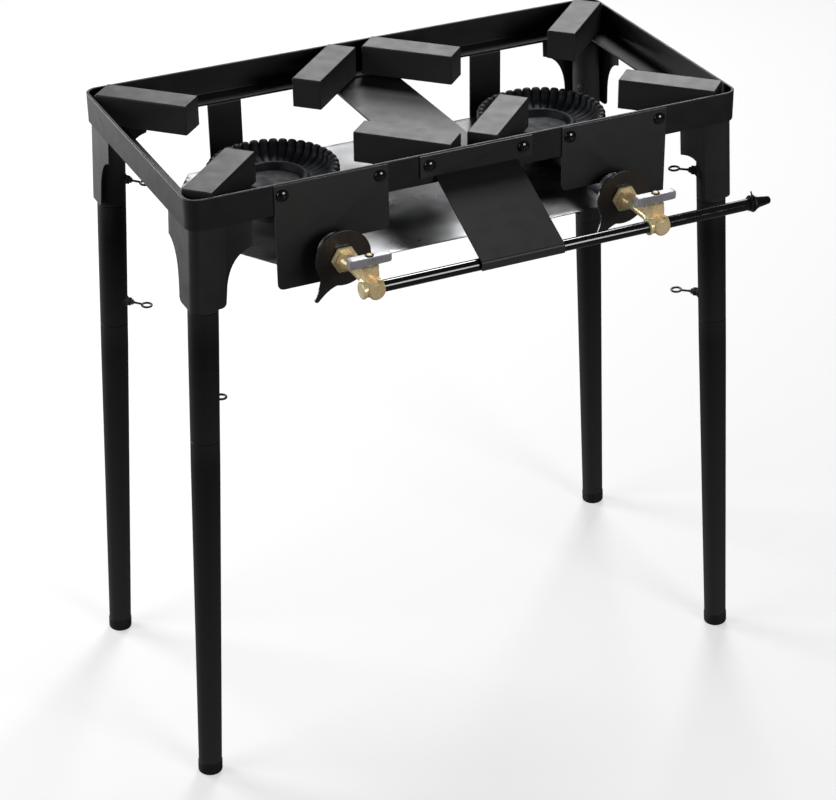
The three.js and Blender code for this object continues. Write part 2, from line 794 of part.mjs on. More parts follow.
function addSheetParts() {
  const black = painted(0x1c1c1e);
  const panel = windPanel();
  place('wind_panel_right', panel, black.clone());
  place('wind_panel_left', mirrored(panel, true, false), black.clone());
  place('heat_shield_tray', heatShieldTray(), metal(0xb8bbc0, 0.18));
  const strap = hangerStrap();
  const panelFace = bandFront - 2 * sheetGap - panelThickness;
  const earFace = bandFront - 2 * sheetGap - manifoldBracketWall;
  const screwKinds = [
    ['bracket_screw', domeScrew(earFace), screwRowX[0]],
    ['panel_screw_inner', domeScrew(panelFace), screwRowX[1]],
    ['panel_screw_outer', domeScrew(panelFace), screwRowX[2]],
  ];
  for (const side of sides) {
    const where = sideName[side];
    place(`hanger_strap_${where}`, strap, painted(0x202022)).position.x = side * burnerX;
    for (const [kind, geometry, x] of screwKinds) {
      place(`${kind}_${where}`, geometry, painted(0x08080a, 0.1))
        .position.set(side * x, 0, frameTop - screwRowDrop);
    }
  }
}

// Moves the stand so that the middle of its bounding box is over the origin
function centred(group) {
  const middle = new THREE.Box3().setFromObject(group, true).getCenter(new THREE.Vector3());
  group.position.set(-middle.x, -middle.y, 0);
  return new THREE.Group().add(group);
}

addFrame();
addPotSupports();
addLegs();
addBurners();
addValves();
addManifold();
addSheetParts();

export default centred(stand);
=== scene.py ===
"""Looks of the double propane burner stand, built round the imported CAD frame.

Shapes are drawn in millimetres in the frame's own axes (+Z up, front towards -Y) and scaled to metres
when each piece is made. Places come from the CAD nodes' boxes and from the record's joints.
"""
import json
import math

import bmesh
import bpy
from mathutils import Matrix, Vector, noise

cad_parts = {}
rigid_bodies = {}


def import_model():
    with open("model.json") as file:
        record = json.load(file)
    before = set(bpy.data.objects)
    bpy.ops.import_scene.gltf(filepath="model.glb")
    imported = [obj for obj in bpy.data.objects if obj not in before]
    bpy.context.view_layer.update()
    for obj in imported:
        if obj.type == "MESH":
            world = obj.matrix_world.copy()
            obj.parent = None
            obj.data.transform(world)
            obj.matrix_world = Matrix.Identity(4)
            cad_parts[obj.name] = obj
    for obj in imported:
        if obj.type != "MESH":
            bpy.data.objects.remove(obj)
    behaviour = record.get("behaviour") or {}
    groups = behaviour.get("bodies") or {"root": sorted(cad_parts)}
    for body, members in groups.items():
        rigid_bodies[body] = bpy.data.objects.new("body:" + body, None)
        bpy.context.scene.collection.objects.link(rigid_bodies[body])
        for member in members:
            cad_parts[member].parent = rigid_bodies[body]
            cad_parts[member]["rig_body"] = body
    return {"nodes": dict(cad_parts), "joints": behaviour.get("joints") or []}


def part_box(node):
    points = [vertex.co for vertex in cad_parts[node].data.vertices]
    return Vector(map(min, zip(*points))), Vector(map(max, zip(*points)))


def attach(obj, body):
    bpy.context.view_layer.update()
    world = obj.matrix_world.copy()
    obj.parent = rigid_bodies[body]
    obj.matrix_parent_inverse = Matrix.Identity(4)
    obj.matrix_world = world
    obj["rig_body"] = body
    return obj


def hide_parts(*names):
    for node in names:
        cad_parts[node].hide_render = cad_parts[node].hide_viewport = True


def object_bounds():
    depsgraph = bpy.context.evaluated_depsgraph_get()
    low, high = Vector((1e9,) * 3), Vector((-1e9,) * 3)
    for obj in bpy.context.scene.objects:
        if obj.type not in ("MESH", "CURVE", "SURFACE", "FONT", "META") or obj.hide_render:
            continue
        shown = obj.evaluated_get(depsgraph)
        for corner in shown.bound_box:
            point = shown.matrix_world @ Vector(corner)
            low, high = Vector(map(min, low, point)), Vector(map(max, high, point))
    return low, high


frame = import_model()
cad_low, cad_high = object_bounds()

MM = 0.001
SIDES = {"left": -1, "right": 1}
DEPTHS = {"front": -1, "rear": 1}
joints = {joint["name"]: joint for joint in frame["joints"]}


def box(node):
    """Lowest and highest corners of a CAD node, in millimetres."""
    low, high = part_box(node)
    return low / MM, high / MM


# ---- Sizes in millimetres that the node boxes don't give ----
BAND_WALL = 3.0
FLANGE_WIDTH = 29.0
FRAME_CORNER = 15.0
SHEET_EDGE = 0.45  # rounding of sheared sheet edges

BRACKET_WALL = 2.0
BRACKET_REACH = 70.0
BRACKET_STEM = 41.0
BRACKET_SHOULDER = 29.0
BRACKET_ROUND = 7.0

SUPPORT_WALL = 2.5
SUPPORT_FOLD = 1.5

LEG_TOP = 16.2
LEG_JOINT = 15.8
LEG_FOOT = 13.2
SPIGOT_LENGTH = 70.0
SOCKET_BORE = 14.2
UPPER_SPIGOT = 13.8
UPPER_SPIGOT_BORE = 12.2
UPPER_BORE = 14.3
LOWER_SOCKET_BORE = 13.5
LOWER_SPIGOT = 13.1
LOWER_SPIGOT_BORE = 11.5
LOWER_BORE = 11.6
CAP_HEIGHT = 15.0
CAP_PLUG = 14.0
NUT_FLATS = 9.5
NUT_HEIGHT = 6.0
SHANK = 2.3
EYE_CENTRE = 42.0
EYE_RADIUS = 5.6
EYE_WIRE = 1.3

CROWN_LOBES = 40
CROWN_HEIGHT = 9.0
VENTURI = 15.0
VENTURI_BORE = 11.0
BELL = 28.0
SHUTTER_RADIUS = 31.0
SHUTTER_HOLE = 6.6
SHUTTER_TAIL = 55.0
SHUTTER_TAIL_ANGLE = math.radians(-126)

PIPE_RADIUS = 6.3
PIPE_BORE = 4.5
STEM_SETBACK = 9.0
PANEL_NOTCH = 19.0
PANEL_LONG_INNER = 157.0
TONGUE_HALF = 47.5
LIP_HEIGHT = 8.15
EAR_HEIGHT = 25.0
TRAY_CLIP = (44.0, 71.0)
DOME_HEIGHT = 4.2
DOME_SHANK = 2.4

ring_low, ring_high = box("frame_ring")
ring_middle = (ring_low + ring_high) / 2


# ---- Mesh helpers ----
def new_mesh():
    return bmesh.new()


def add_grid(mesh, rows, wrap_rows=False, wrap_columns=False, flip=False):
    """Quads over a table of points, one list of points per row. Returns the vertices in rows."""
    verts = [[mesh.verts.new(Vector(point)) for point in row] for row in rows]
    row_count = len(rows)
    column_count = len(rows[0])
    for i in range(row_count if wrap_rows else row_count - 1):
        for j in range(column_count if wrap_columns else column_count - 1):
            corners = [
                verts[i][j],
                verts[i][(j + 1) % column_count],
                verts[(i + 1) % row_count][(j + 1) % column_count],
                verts[(i + 1) % row_count][j],
            ]
            if flip:
                corners.reverse()
            mesh.faces.new(corners)
    return verts


def turn_about(axis):
    """Rotation that carries +Z to the named axis."""
    if axis == "x":
        return Matrix.Rotation(math.radians(90), 3, "Y")
    if axis == "y":
        return Matrix.Rotation(math.radians(-90), 3, "X")
    return Matrix.Identity(3)


def lathe(mesh, profile, segments=48, axis="z", centre=(0, 0, 0), turn=0.0):
    """Closed solid of revolution from [radius, height] pairs, or a hollow one if the profile is a loop."""
    is_loop = profile[0] == profile[-1]
    points = profile[:-1] if is_loop else profile
    rotation = turn_about(axis)
    origin = Vector(centre)
    rings = []
    for radius, height in points:
        if radius < 1e-6:
            rings.append([mesh.verts.new(origin + rotation @ Vector((0, 0, height)))])
            continue
        ring = []
        for k in range(segments):
            angle = turn + 2 * math.pi * k / segments
            spot = Vector((radius * math.cos(angle), radius * math.sin(angle), height))
            ring.append(mesh.verts.new(origin + rotation @ spot))
        rings.append(ring)
    count = len(rings)
    for i in range(count if is_loop else count - 1):
        lower = rings[i]
        upper = rings[(i + 1) % count]
        for k in range(segments):
            after = (k + 1) % segments
            if len(lower) == 1 and len(upper) == 1:
                continue
            if len(lower) == 1:
                mesh.faces.new((lower[0], upper[after], upper[k]))
            elif len(upper) == 1:
                mesh.faces.new((lower[k], lower[after], upper[0]))
            else:
                mesh.faces.new((lower[k], lower[after], upper[after], upper[k]))


def extrude_outline(mesh, outline, thickness, place):
    """Solid between an outline at 0 and at the thickness; place(u, v, w) gives each point's position."""
    near = [mesh.verts.new(Vector(place(u, v, 0.0))) for u, v in outline]
    far = [mesh.verts.new(Vector(place(u, v, thickness))) for u, v in outline]
    mesh.faces.new(list(reversed(near)))
    mesh.faces.new(far)
    count = len(outline)
    for k in range(count):
        after = (k + 1) % count
        mesh.faces.new((near[k], near[after], far[after], far[k]))


def arc(centre, radius, start, end, steps):
    """Points on an arc, angles in degrees, both ends included."""
    points = []
    for k in range(steps + 1):
        angle = math.radians(start + (end - start) * k / steps)
        points.append((centre[0] + radius * math.cos(angle), centre[1] + radius * math.sin(angle)))
    return points


def curve_through(start, control, end, steps):
    """Points on a quadratic curve, without its first point."""
    points = []
    for k in range(1, steps + 1):
        t = k / steps
        a, b, c = (1 - t) ** 2, 2 * t * (1 - t), t * t
        points.append(tuple(a * p + b * q + c * r for p, q, r in zip(start, control, end)))
    return points


def rounded(points, radius, steps=4, closed=True):
    """The same outline with every corner turned into a curve that starts radius before it."""
    result = []
    count = len(points)
    for k in range(count):
        here = Vector(points[k])
        if not closed and k in (0, count - 1):
            result.append(tuple(here))
            continue
        before = Vector(points[k - 1]) - here
        after = Vector(points[(k + 1) % count]) - here
        reach_in = min(radius, before.length * 0.45)
        reach_out = min(radius, after.length * 0.45)
        start = here + before.normalized() * reach_in
        end = here + after.normalized() * reach_out
        result.append(tuple(start))
        result.extend(curve_through(start, here, end, steps))
    return result


def make_piece(name, mesh, node=None, body=None, bevel=0.0, segments=3, smooth_angle=40):
    """Turns a millimetre bmesh into a piece with soft edges that rides on its node's body."""
    bmesh.ops.recalc_face_normals(mesh, faces=mesh.faces[:])
    data = bpy.data.meshes.new(name)
    mesh.to_mesh(data)
    mesh.free()
    data.transform(Matrix.Scale(MM, 4))
    for polygon in data.polygons:
        polygon.use_smooth = True
    piece = bpy.data.objects.new(name, data)
    bpy.context.scene.collection.objects.link(piece)
    if bevel > 0:
        modifier = piece.modifiers.new("soft_edges", "BEVEL")
        modifier.width = bevel * MM
        modifier.segments = segments
        modifier.limit_method = "ANGLE"
        modifier.angle_limit = math.radians(smooth_angle)
        modifier.miter_outer = "MITER_ARC"
    else:
        data.set_sharp_from_angle(angle=math.radians(smooth_angle))
    normals = piece.modifiers.new("even_normals", "WEIGHTED_NORMAL")
    normals.keep_sharp = True
    if node:
        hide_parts(node)
        body = frame["nodes"][node]["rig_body"]
    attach(piece, body)
    return piece


def paint(piece, material):
    piece.data.materials.clear()
    piece.data.materials.append(material)
    return piece


def join_solids(name, meshes):
    """One bmesh from several overlapping closed bmeshes, joined as solids."""
    objects = []
    for index, mesh in enumerate(meshes):
        bmesh.ops.recalc_face_normals(mesh, faces=mesh.faces[:])
        data = bpy.data.meshes.new(f"{name}_part{index}")
        mesh.to_mesh(data)
        mesh.free()
        part = bpy.data.objects.new(f"{name}_part{index}", data)
        bpy.context.scene.collection.objects.link(part)
        objects.append(part)
    whole = objects[0]
    for part in objects[1:]:
        union = whole.modifiers.new("union", "BOOLEAN")
        union.operation = "UNION"
        union.solver = "EXACT"
        union.object = part
    graph = bpy.context.evaluated_depsgraph_get()
    result = bmesh.new()
    joined = whole.evaluated_get(graph).to_mesh()
    result.from_mesh(joined)
    for part in objects:
        bpy.data.objects.remove(part)
    return result


# ---- Materials ----
def shader(name):
    """A new material with its nodes; returns the material, its tree and the main shader."""
    material = bpy.data.materials.new(name)
    material.use_nodes = True
    tree = material.node_tree
    return material, tree, tree.nodes["Principled BSDF"]


def noise_node(tree, scale, detail=4.0, stretch=(1, 1, 1), distortion=0.0):
    coordinates = tree.nodes.new("ShaderNodeTexCoord")
    mapping = tree.nodes.new("ShaderNodeMapping")
    mapping.inputs["Scale"].default_value = stretch
    texture = tree.nodes.new("ShaderNodeTexNoise")
    texture.inputs["Scale"].default_value = scale
    texture.inputs["Detail"].default_value = detail
    texture.inputs["Distortion"].default_value = distortion
    tree.links.new(coordinates.outputs["Object"], mapping.inputs["Vector"])
    tree.links.new(mapping.outputs["Vector"], texture.inputs["Vector"])
    return texture.outputs["Fac"]


def spread(tree, value, low, high, from_low=0.3, from_high=0.7):
    """Maps a noise value onto a range."""
    node = tree.nodes.new("ShaderNodeMapRange")
    node.inputs["From Min"].default_value = from_low
    node.inputs["From Max"].default_value = from_high
    node.inputs["To Min"].default_value = low
    node.inputs["To Max"].default_value = high
    tree.links.new(value, node.inputs["Value"])
    return node.outputs["Result"]


def product(tree, first, second):
    node = tree.nodes.new("ShaderNodeMath")
    node.operation = "MULTIPLY"
    tree.links.new(first, node.inputs[0])
    tree.links.new(second, node.inputs[1])
    return node.outputs[0]


def blend_colors(tree, amount, first, second):
    """Mixes two colours, each either a tuple or another node's output."""
    node = tree.nodes.new("ShaderNodeMix")
    node.data_type = "RGBA"
    tree.links.new(amount, node.inputs["Factor"])
    for socket, color in ((node.inputs[6], first), (node.inputs[7], second)):
        if isinstance(color, tuple):
            socket.default_value = (*color, 1.0)
        else:
            tree.links.new(color, socket)
    return node.outputs[2]


def edge_mask(tree, start=0.52, end=0.62):
    """Near 1 on convex edges, 0 on flats."""
    geometry = tree.nodes.new("ShaderNodeNewGeometry")
    return spread(tree, geometry.outputs["Pointiness"], 0.0, 1.0, start, end)


def bump(tree, height, strength, distance):
    node = tree.nodes.new("ShaderNodeBump")
    node.inputs["Strength"].default_value = strength
    node.inputs["Distance"].default_value = distance
    tree.links.new(height, node.inputs["Height"])
    return node.outputs["Normal"]


def powder_coat(name, dark, light, roughness, grain=0.25, specular=0.5):
    """Satin powder coat: faint cloudy colour, orange-peel bump, and convex edges painted brighter, partly as rubbed
    wear and partly as a painted edge highlight.
    """
    material, tree, main = shader(name)
    clouds = spread(tree, noise_node(tree, 9.0, 5.0), 0.0, 1.0)
    color = blend_colors(tree, clouds, dark, light)
    # Convex edges get a lighter colour: partly rubbed wear, partly a painted highlight where edges catch the light.
    rubbed_and_highlit_edge = tuple(min(1.0, 2.2 * channel + 0.05) for channel in light)
    color = blend_colors(tree, edge_mask(tree), color, rubbed_and_highlit_edge)
    tree.links.new(color, main.inputs["Base Color"])
    rubbed = spread(tree, noise_node(tree, 60.0, 3.0), roughness - 0.05, roughness + 0.06)
    tree.links.new(rubbed, main.inputs["Roughness"])
    main.inputs["Specular IOR Level"].default_value = specular
    peel = noise_node(tree, 900.0, 2.0)
    tree.links.new(bump(tree, peel, grain, 0.00012), main.inputs["Normal"])
    return material


def gloss_enamel(name):
    material, tree, main = shader(name)
    clouds = spread(tree, noise_node(tree, 25.0), 0.0, 1.0)
    color = blend_colors(tree, clouds, (0.002, 0.002, 0.0025), (0.006, 0.006, 0.007))
    tree.links.new(color, main.inputs["Base Color"])
    smears = spread(tree, noise_node(tree, 120.0, 4.0), 0.07, 0.16)
    tree.links.new(smears, main.inputs["Roughness"])
    main.inputs["Coat Weight"].default_value = 0.6
    main.inputs["Coat Roughness"].default_value = 0.05
    ripple = noise_node(tree, 220.0, 2.0)
    tree.links.new(bump(tree, ripple, 0.12, 0.0001), main.inputs["Normal"])
    return material


def cast_iron(name):
    """Sand-cast iron with a blue-black tone, pitted, and painted lighter on its convex edges, partly as wear and
    partly as a painted edge highlight.
    """
    material, tree, main = shader(name)
    patches = spread(tree, noise_node(tree, 35.0, 8.0, distortion=0.6), 0.0, 1.0)
    color = blend_colors(tree, patches, (0.010, 0.011, 0.014), (0.034, 0.037, 0.044))
    # Convex edges get a lighter colour: partly wear, partly a painted highlight where edges catch the light.
    color = blend_colors(tree, edge_mask(tree, 0.54, 0.66), color, (0.16, 0.17, 0.19))
    tree.links.new(color, main.inputs["Base Color"])
    main.inputs["Metallic"].default_value = 0.35
    tree.links.new(spread(tree, noise_node(tree, 90.0, 6.0), 0.5, 0.72), main.inputs["Roughness"])
    sand = noise_node(tree, 420.0, 8.0)
    tree.links.new(bump(tree, sand, 0.5, 0.0006), main.inputs["Normal"])
    return material


def machined_metal(name, dull, bright, roughness, stretch, metallic, streak=0.15):
    """Metal with fine tool lines along one axis, patchy tone and brighter edges."""
    material, tree, main = shader(name)
    patches = spread(tree, noise_node(tree, 70.0, 5.0), 0.0, 1.0)
    color = blend_colors(tree, patches, dull, bright)
    color = blend_colors(tree, edge_mask(tree, 0.53, 0.64), color, tuple(min(1, 1.15 * c) for c in bright))
    tree.links.new(color, main.inputs["Base Color"])
    main.inputs["Metallic"].default_value = metallic
    lines = noise_node(tree, 260.0, 3.0, stretch)
    tree.links.new(spread(tree, lines, roughness - 0.07, roughness + 0.1), main.inputs["Roughness"])
    tree.links.new(bump(tree, lines, streak, 0.0001), main.inputs["Normal"])
    return material


def lever_metal(name):
    """Zinc casting: dull grey sides as cast, and upward-facing faces painted near-white as a painted highlight from
    the light above.
    """
    material, tree, main = shader(name)
    patches = spread(tree, noise_node(tree, 70.0, 5.0), 0.0, 1.0)
    sides = blend_colors(tree, patches, (0.30, 0.30, 0.32), (0.46, 0.46, 0.49))
    # Upward-facing faces are painted near-white: a painted highlight from the light above, not the metal's own
    # colour.
    geometry = tree.nodes.new("ShaderNodeNewGeometry")
    split = tree.nodes.new("ShaderNodeSeparateXYZ")
    tree.links.new(geometry.outputs["Normal"], split.inputs[0])
    top = spread(tree, split.outputs["Z"], 0.0, 1.0, 0.55, 0.9)
    color = blend_colors(tree, top, sides, (0.93, 0.94, 0.95))
    color = blend_colors(tree, edge_mask(tree, 0.53, 0.64), color, (0.9, 0.9, 0.92))
    tree.links.new(color, main.inputs["Base Color"])
    main.inputs["Metallic"].default_value = 0.3
    sand = noise_node(tree, 500.0, 4.0)
    tree.links.new(spread(tree, sand, 0.24, 0.42), main.inputs["Roughness"])
    tree.links.new(bump(tree, sand, 0.2, 0.0001), main.inputs["Normal"])
    return material


def polished_sheet(name, front):
    """Thin sheet whose colour carries painted reflections: bright on its left and along its front, and cloudy
    elsewhere.
    """
    material, tree, main = shader(name)
    place = tree.nodes.new("ShaderNodeTexCoord")
    split = tree.nodes.new("ShaderNodeSeparateXYZ")
    tree.links.new(place.outputs["Object"], split.inputs[0])
    # Painted reflection: lighter towards the left edge, where the white surroundings would be mirrored.
    painted_left_reflection = spread(tree, split.outputs["X"], 1.0, 0.2, -0.1, 0.06)
    # These clouds in the colour are painted reflections, mottled dark and light.
    clouds = spread(tree, noise_node(tree, 12.0, 2.0, distortion=0.4), 0.0, 1.0, 0.36, 0.68)
    color = blend_colors(tree, product(tree, clouds, painted_left_reflection), (0.05, 0.05, 0.055), (0.6, 0.61, 0.62))
    # Painted reflection: a bright strip along the front edge.
    painted_front_reflection = spread(tree, split.outputs["Y"], 0.85, 0.0, front, front + 0.045)
    color = blend_colors(tree, product(tree, painted_front_reflection, painted_left_reflection), color, (0.9, 0.91, 0.92))
    tree.links.new(color, main.inputs["Base Color"])
    main.inputs["Metallic"].default_value = 0.7
    rub = spread(tree, noise_node(tree, 30.0, 2.0), 0.26, 0.36)
    tree.links.new(rub, main.inputs["Roughness"])
    waves = noise_node(tree, 14.0, 3.0, distortion=0.8)
    tree.links.new(bump(tree, waves, 0.2, 0.004), main.inputs["Normal"])
    return material


def moulded_rubber(name):
    material, tree, main = shader(name)
    patches = spread(tree, noise_node(tree, 80.0), 0.0, 1.0)
    color = blend_colors(tree, patches, (0.004, 0.004, 0.004), (0.012, 0.012, 0.012))
    tree.links.new(color, main.inputs["Base Color"])
    tree.links.new(spread(tree, noise_node(tree, 200.0), 0.55, 0.75), main.inputs["Roughness"])
    tree.links.new(bump(tree, noise_node(tree, 1100.0), 0.3, 0.0001), main.inputs["Normal"])
    return material


coat_frame = powder_coat("frame_powder_coat", (0.0025, 0.0025, 0.003), (0.005, 0.005, 0.0055), 0.45, specular=0.4)
coat_support = powder_coat("support_powder_coat", (0.0018, 0.0018, 0.0018), (0.0032, 0.0032, 0.0032), 0.40, specular=0.4)
coat_leg = powder_coat("leg_powder_coat", (0.001, 0.001, 0.001), (0.002, 0.002, 0.002), 0.5, specular=0.12)
enamel = gloss_enamel("gloss_enamel")
iron = cast_iron("burner_cast_iron")
brass = machined_metal("machined_brass", (0.95, 0.66, 0.32), (1.0, 0.82, 0.50), 0.24, (1, 14, 1), 0.25, streak=0.05)
zinc = lever_metal("zinc_lever")
tray_steel = polished_sheet("polished_tray", box("heat_shield_tray")[0].y * MM)
rubber = moulded_rubber("foot_rubber")
wire_coat = powder_coat("wire_coat", (0.004, 0.004, 0.004), (0.008, 0.008, 0.008), 0.3)


# ---- Frame ----
def rectangle_loop(half_x, half_y, radius, height, steps=10):
    """A rounded rectangle of 4 * (steps + 1) points at one height."""
    loop = []
    centres = [(half_x - radius, half_y - radius, 0), (radius - half_x, half_y - radius, 90),
               (radius - half_x, radius - half_y, 180), (half_x - radius, radius - half_y, 270)]
    for x, y, start in centres:
        loop.extend((u, v, height) for u, v in arc((x, y), radius, start, start + 90, steps))
    return loop


def build_frame_ring():
    angle_iron = [
        (0, ring_low.z),
        (0, ring_high.z),
        (BAND_WALL, ring_high.z),
        (BAND_WALL, ring_low.z + BAND_WALL),
        (FLANGE_WIDTH, ring_low.z + BAND_WALL),
        (FLANGE_WIDTH, ring_low.z),
    ]
    half = (ring_high - ring_low) / 2
    section = rounded(angle_iron, 0.9, 3)
    rows = []
    for inset, height in section:
        radius = max(FRAME_CORNER - inset, 3.0)
        loop = rectangle_loop(half.x - inset, half.y - inset, radius, height)
        rows.append([(x, ring_middle.y + y, z) for x, y, z in loop])
    mesh = new_mesh()
    add_grid(mesh, rows, wrap_rows=True, wrap_columns=True)
    return paint(make_piece("angle_iron_ring", mesh, "frame_ring"), coat_frame)


def bracket_columns(reach, depth):
    """(distance from the corner's outer plane, lowest height) along one flange, outermost first."""
    shoulder = (reach, -BRACKET_SHOULDER)
    hollow_end = (BRACKET_STEM + 1, -depth + 26)
    stem_end = (BRACKET_STEM, -depth + BRACKET_ROUND)
    columns = [shoulder]
    columns += curve_through(shoulder, (BRACKET_STEM + 5, -BRACKET_SHOULDER - 5), hollow_end, 10)
    columns.append(stem_end)
    columns += curve_through(stem_end, (BRACKET_STEM, -depth), (BRACKET_STEM - BRACKET_ROUND, -depth), 4)
    return columns


def build_corner_bracket(where, sign_x, sign_y):
    """Bent sheet that starts just inside the band's outline and leans outward beside the leg."""
    node = f"corner_bracket_{where}"
    low, high = box(node)
    corner_x = ring_high.x if sign_x > 0 else ring_low.x
    corner_y = ring_high.y if sign_y > 0 else ring_low.y
    down = Vector(joints[f"leg_upper_{where}_slide"]["axis"])
    depth = high.z - low.z
    outer = FRAME_CORNER - BAND_WALL
    centre = BAND_WALL + outer
    flange = bracket_columns(BRACKET_REACH, depth)
    sections = []
    for distance, bottom in flange:
        sections.append(((distance, BAND_WALL), (0, 1), bottom))
    for k in range(1, 8):
        angle = math.radians(270 - 90 * k / 8)
        spot = (centre + outer * math.cos(angle), centre + outer * math.sin(angle))
        sections.append((spot, (-math.cos(angle), -math.sin(angle)), -depth))
    for distance, bottom in reversed(flange):
        sections.append(((BAND_WALL, distance), (1, 0), bottom))
    rows = []
    for (x, y), (inward_x, inward_y), bottom in sections:
        inner = (x + inward_x * BRACKET_WALL, y + inward_y * BRACKET_WALL)
        loop = [(x, y, 0), (x, y, bottom), (*inner, bottom), (*inner, 0)]
        rows.append([
            (corner_x - sign_x * u + down.x * w / down.z, corner_y - sign_y * v + down.y * w / down.z, high.z + w)
            for u, v, w in loop
        ])
    mesh = new_mesh()
    verts = add_grid(mesh, rows, wrap_columns=True)
    mesh.faces.new(verts[0])
    mesh.faces.new(verts[-1])
    piece = make_piece(f"bent_{node}", mesh, node, bevel=SHEET_EDGE, segments=2, smooth_angle=30)
    return paint(piece, coat_frame)


def build_centre_plate():
    low, high = box("centre_plate")
    outline = rounded([(low.x, low.y), (high.x, low.y), (high.x, high.y), (low.x, high.y)], 4)
    mesh = new_mesh()
    extrude_outline(mesh, outline, high.z - low.z, lambda u, v, w: (u, v, low.z + w))
    piece = make_piece("flat_centre_plate", mesh, "centre_plate", bevel=SHEET_EDGE, segments=2)
    return paint(piece, coat_support)


# ---- Pot supports ----
def build_pot_support(node, sign_x, sign_y, towards_x):
    """A folded channel with closed ends and an open underside."""
    low, high = box(node)
    height = high.z - low.z
    wide = 34.0
    spread_x = high.x - low.x
    length = spread_x * math.sqrt(2) - wide
    heading = math.atan2(-sign_y, towards_x)
    centre = (low + high) / 2
    half_l, half_w = length / 2, wide / 2
    mesh = new_mesh()
    bmesh.ops.create_cube(mesh, size=1.0)
    bmesh.ops.scale(mesh, vec=(length, wide, height), verts=mesh.verts[:])
    under = [face for face in mesh.faces if face.normal.z < -0.5]
    bmesh.ops.delete(mesh, geom=under, context="FACES_ONLY")
    folds = [edge for edge in mesh.edges if len(edge.link_faces) == 2]
    bmesh.ops.bevel(mesh, geom=folds, offset=SUPPORT_FOLD, segments=4, profile=0.5, affect="EDGES")
    place = Matrix.Translation(centre) @ Matrix.Rotation(heading, 4, "Z")
    bmesh.ops.transform(mesh, matrix=place, verts=mesh.verts[:])
    bmesh.ops.recalc_face_normals(mesh, faces=mesh.faces[:])
    skin = make_piece(f"folded_{node}", mesh, node)
    walls = skin.modifiers.new("sheet", "SOLIDIFY")
    walls.thickness = SUPPORT_WALL * MM
    walls.offset = -1.0
    skin.modifiers.move(1, 0)
    return paint(skin, coat_support)


# ---- Legs ----
def leg_frame(where):
    """Matrix whose -Z runs down the leg's axis and whose origin is at the first seam."""
    joint = joints[f"leg_upper_{where}_slide"]
    down = Vector(joint["axis"]).normalized()
    turn = Vector((0, 0, -1)).rotation_difference(down).to_matrix().to_4x4()
    return Matrix.Translation(Vector(joint["pos_m"]) / MM) @ turn, down


def leg_piece(name, node, mesh, matrix, material, slot, **options):
    bmesh.ops.transform(mesh, matrix=matrix, verts=mesh.verts[:])
    return paint(make_piece(name, mesh, node, **options), material)


def add_weld_nut(mesh, radius, height, inward, bead=True):
    """Hexagon nut standing on the tube, with a ring of weld at its foot."""
    nut = bmesh.new()
    corner = NUT_FLATS / math.sqrt(3)
    lathe(nut, [(0, radius - 1.3), (corner, radius - 1.3), (corner, radius + NUT_HEIGHT - 0.8),
                (corner - 0.9, radius + NUT_HEIGHT), (0, radius + NUT_HEIGHT)], 6, "x")
    lathe(nut, [(0, radius - 1.5), (corner + 1.3, radius - 1.5), (corner + 1.3, radius - 0.2),
                (corner, radius + 1.0), (0, radius + 1.0)], 24, "x")
    turn = Matrix.Translation((0, 0, height)) @ Matrix.Rotation(inward, 4, "Z")
    bmesh.ops.transform(nut, matrix=turn, verts=nut.verts[:])
    data = bpy.data.meshes.new("nut")
    nut.to_mesh(data)
    nut.free()
    mesh.from_mesh(data)
    bpy.data.meshes.remove(data)


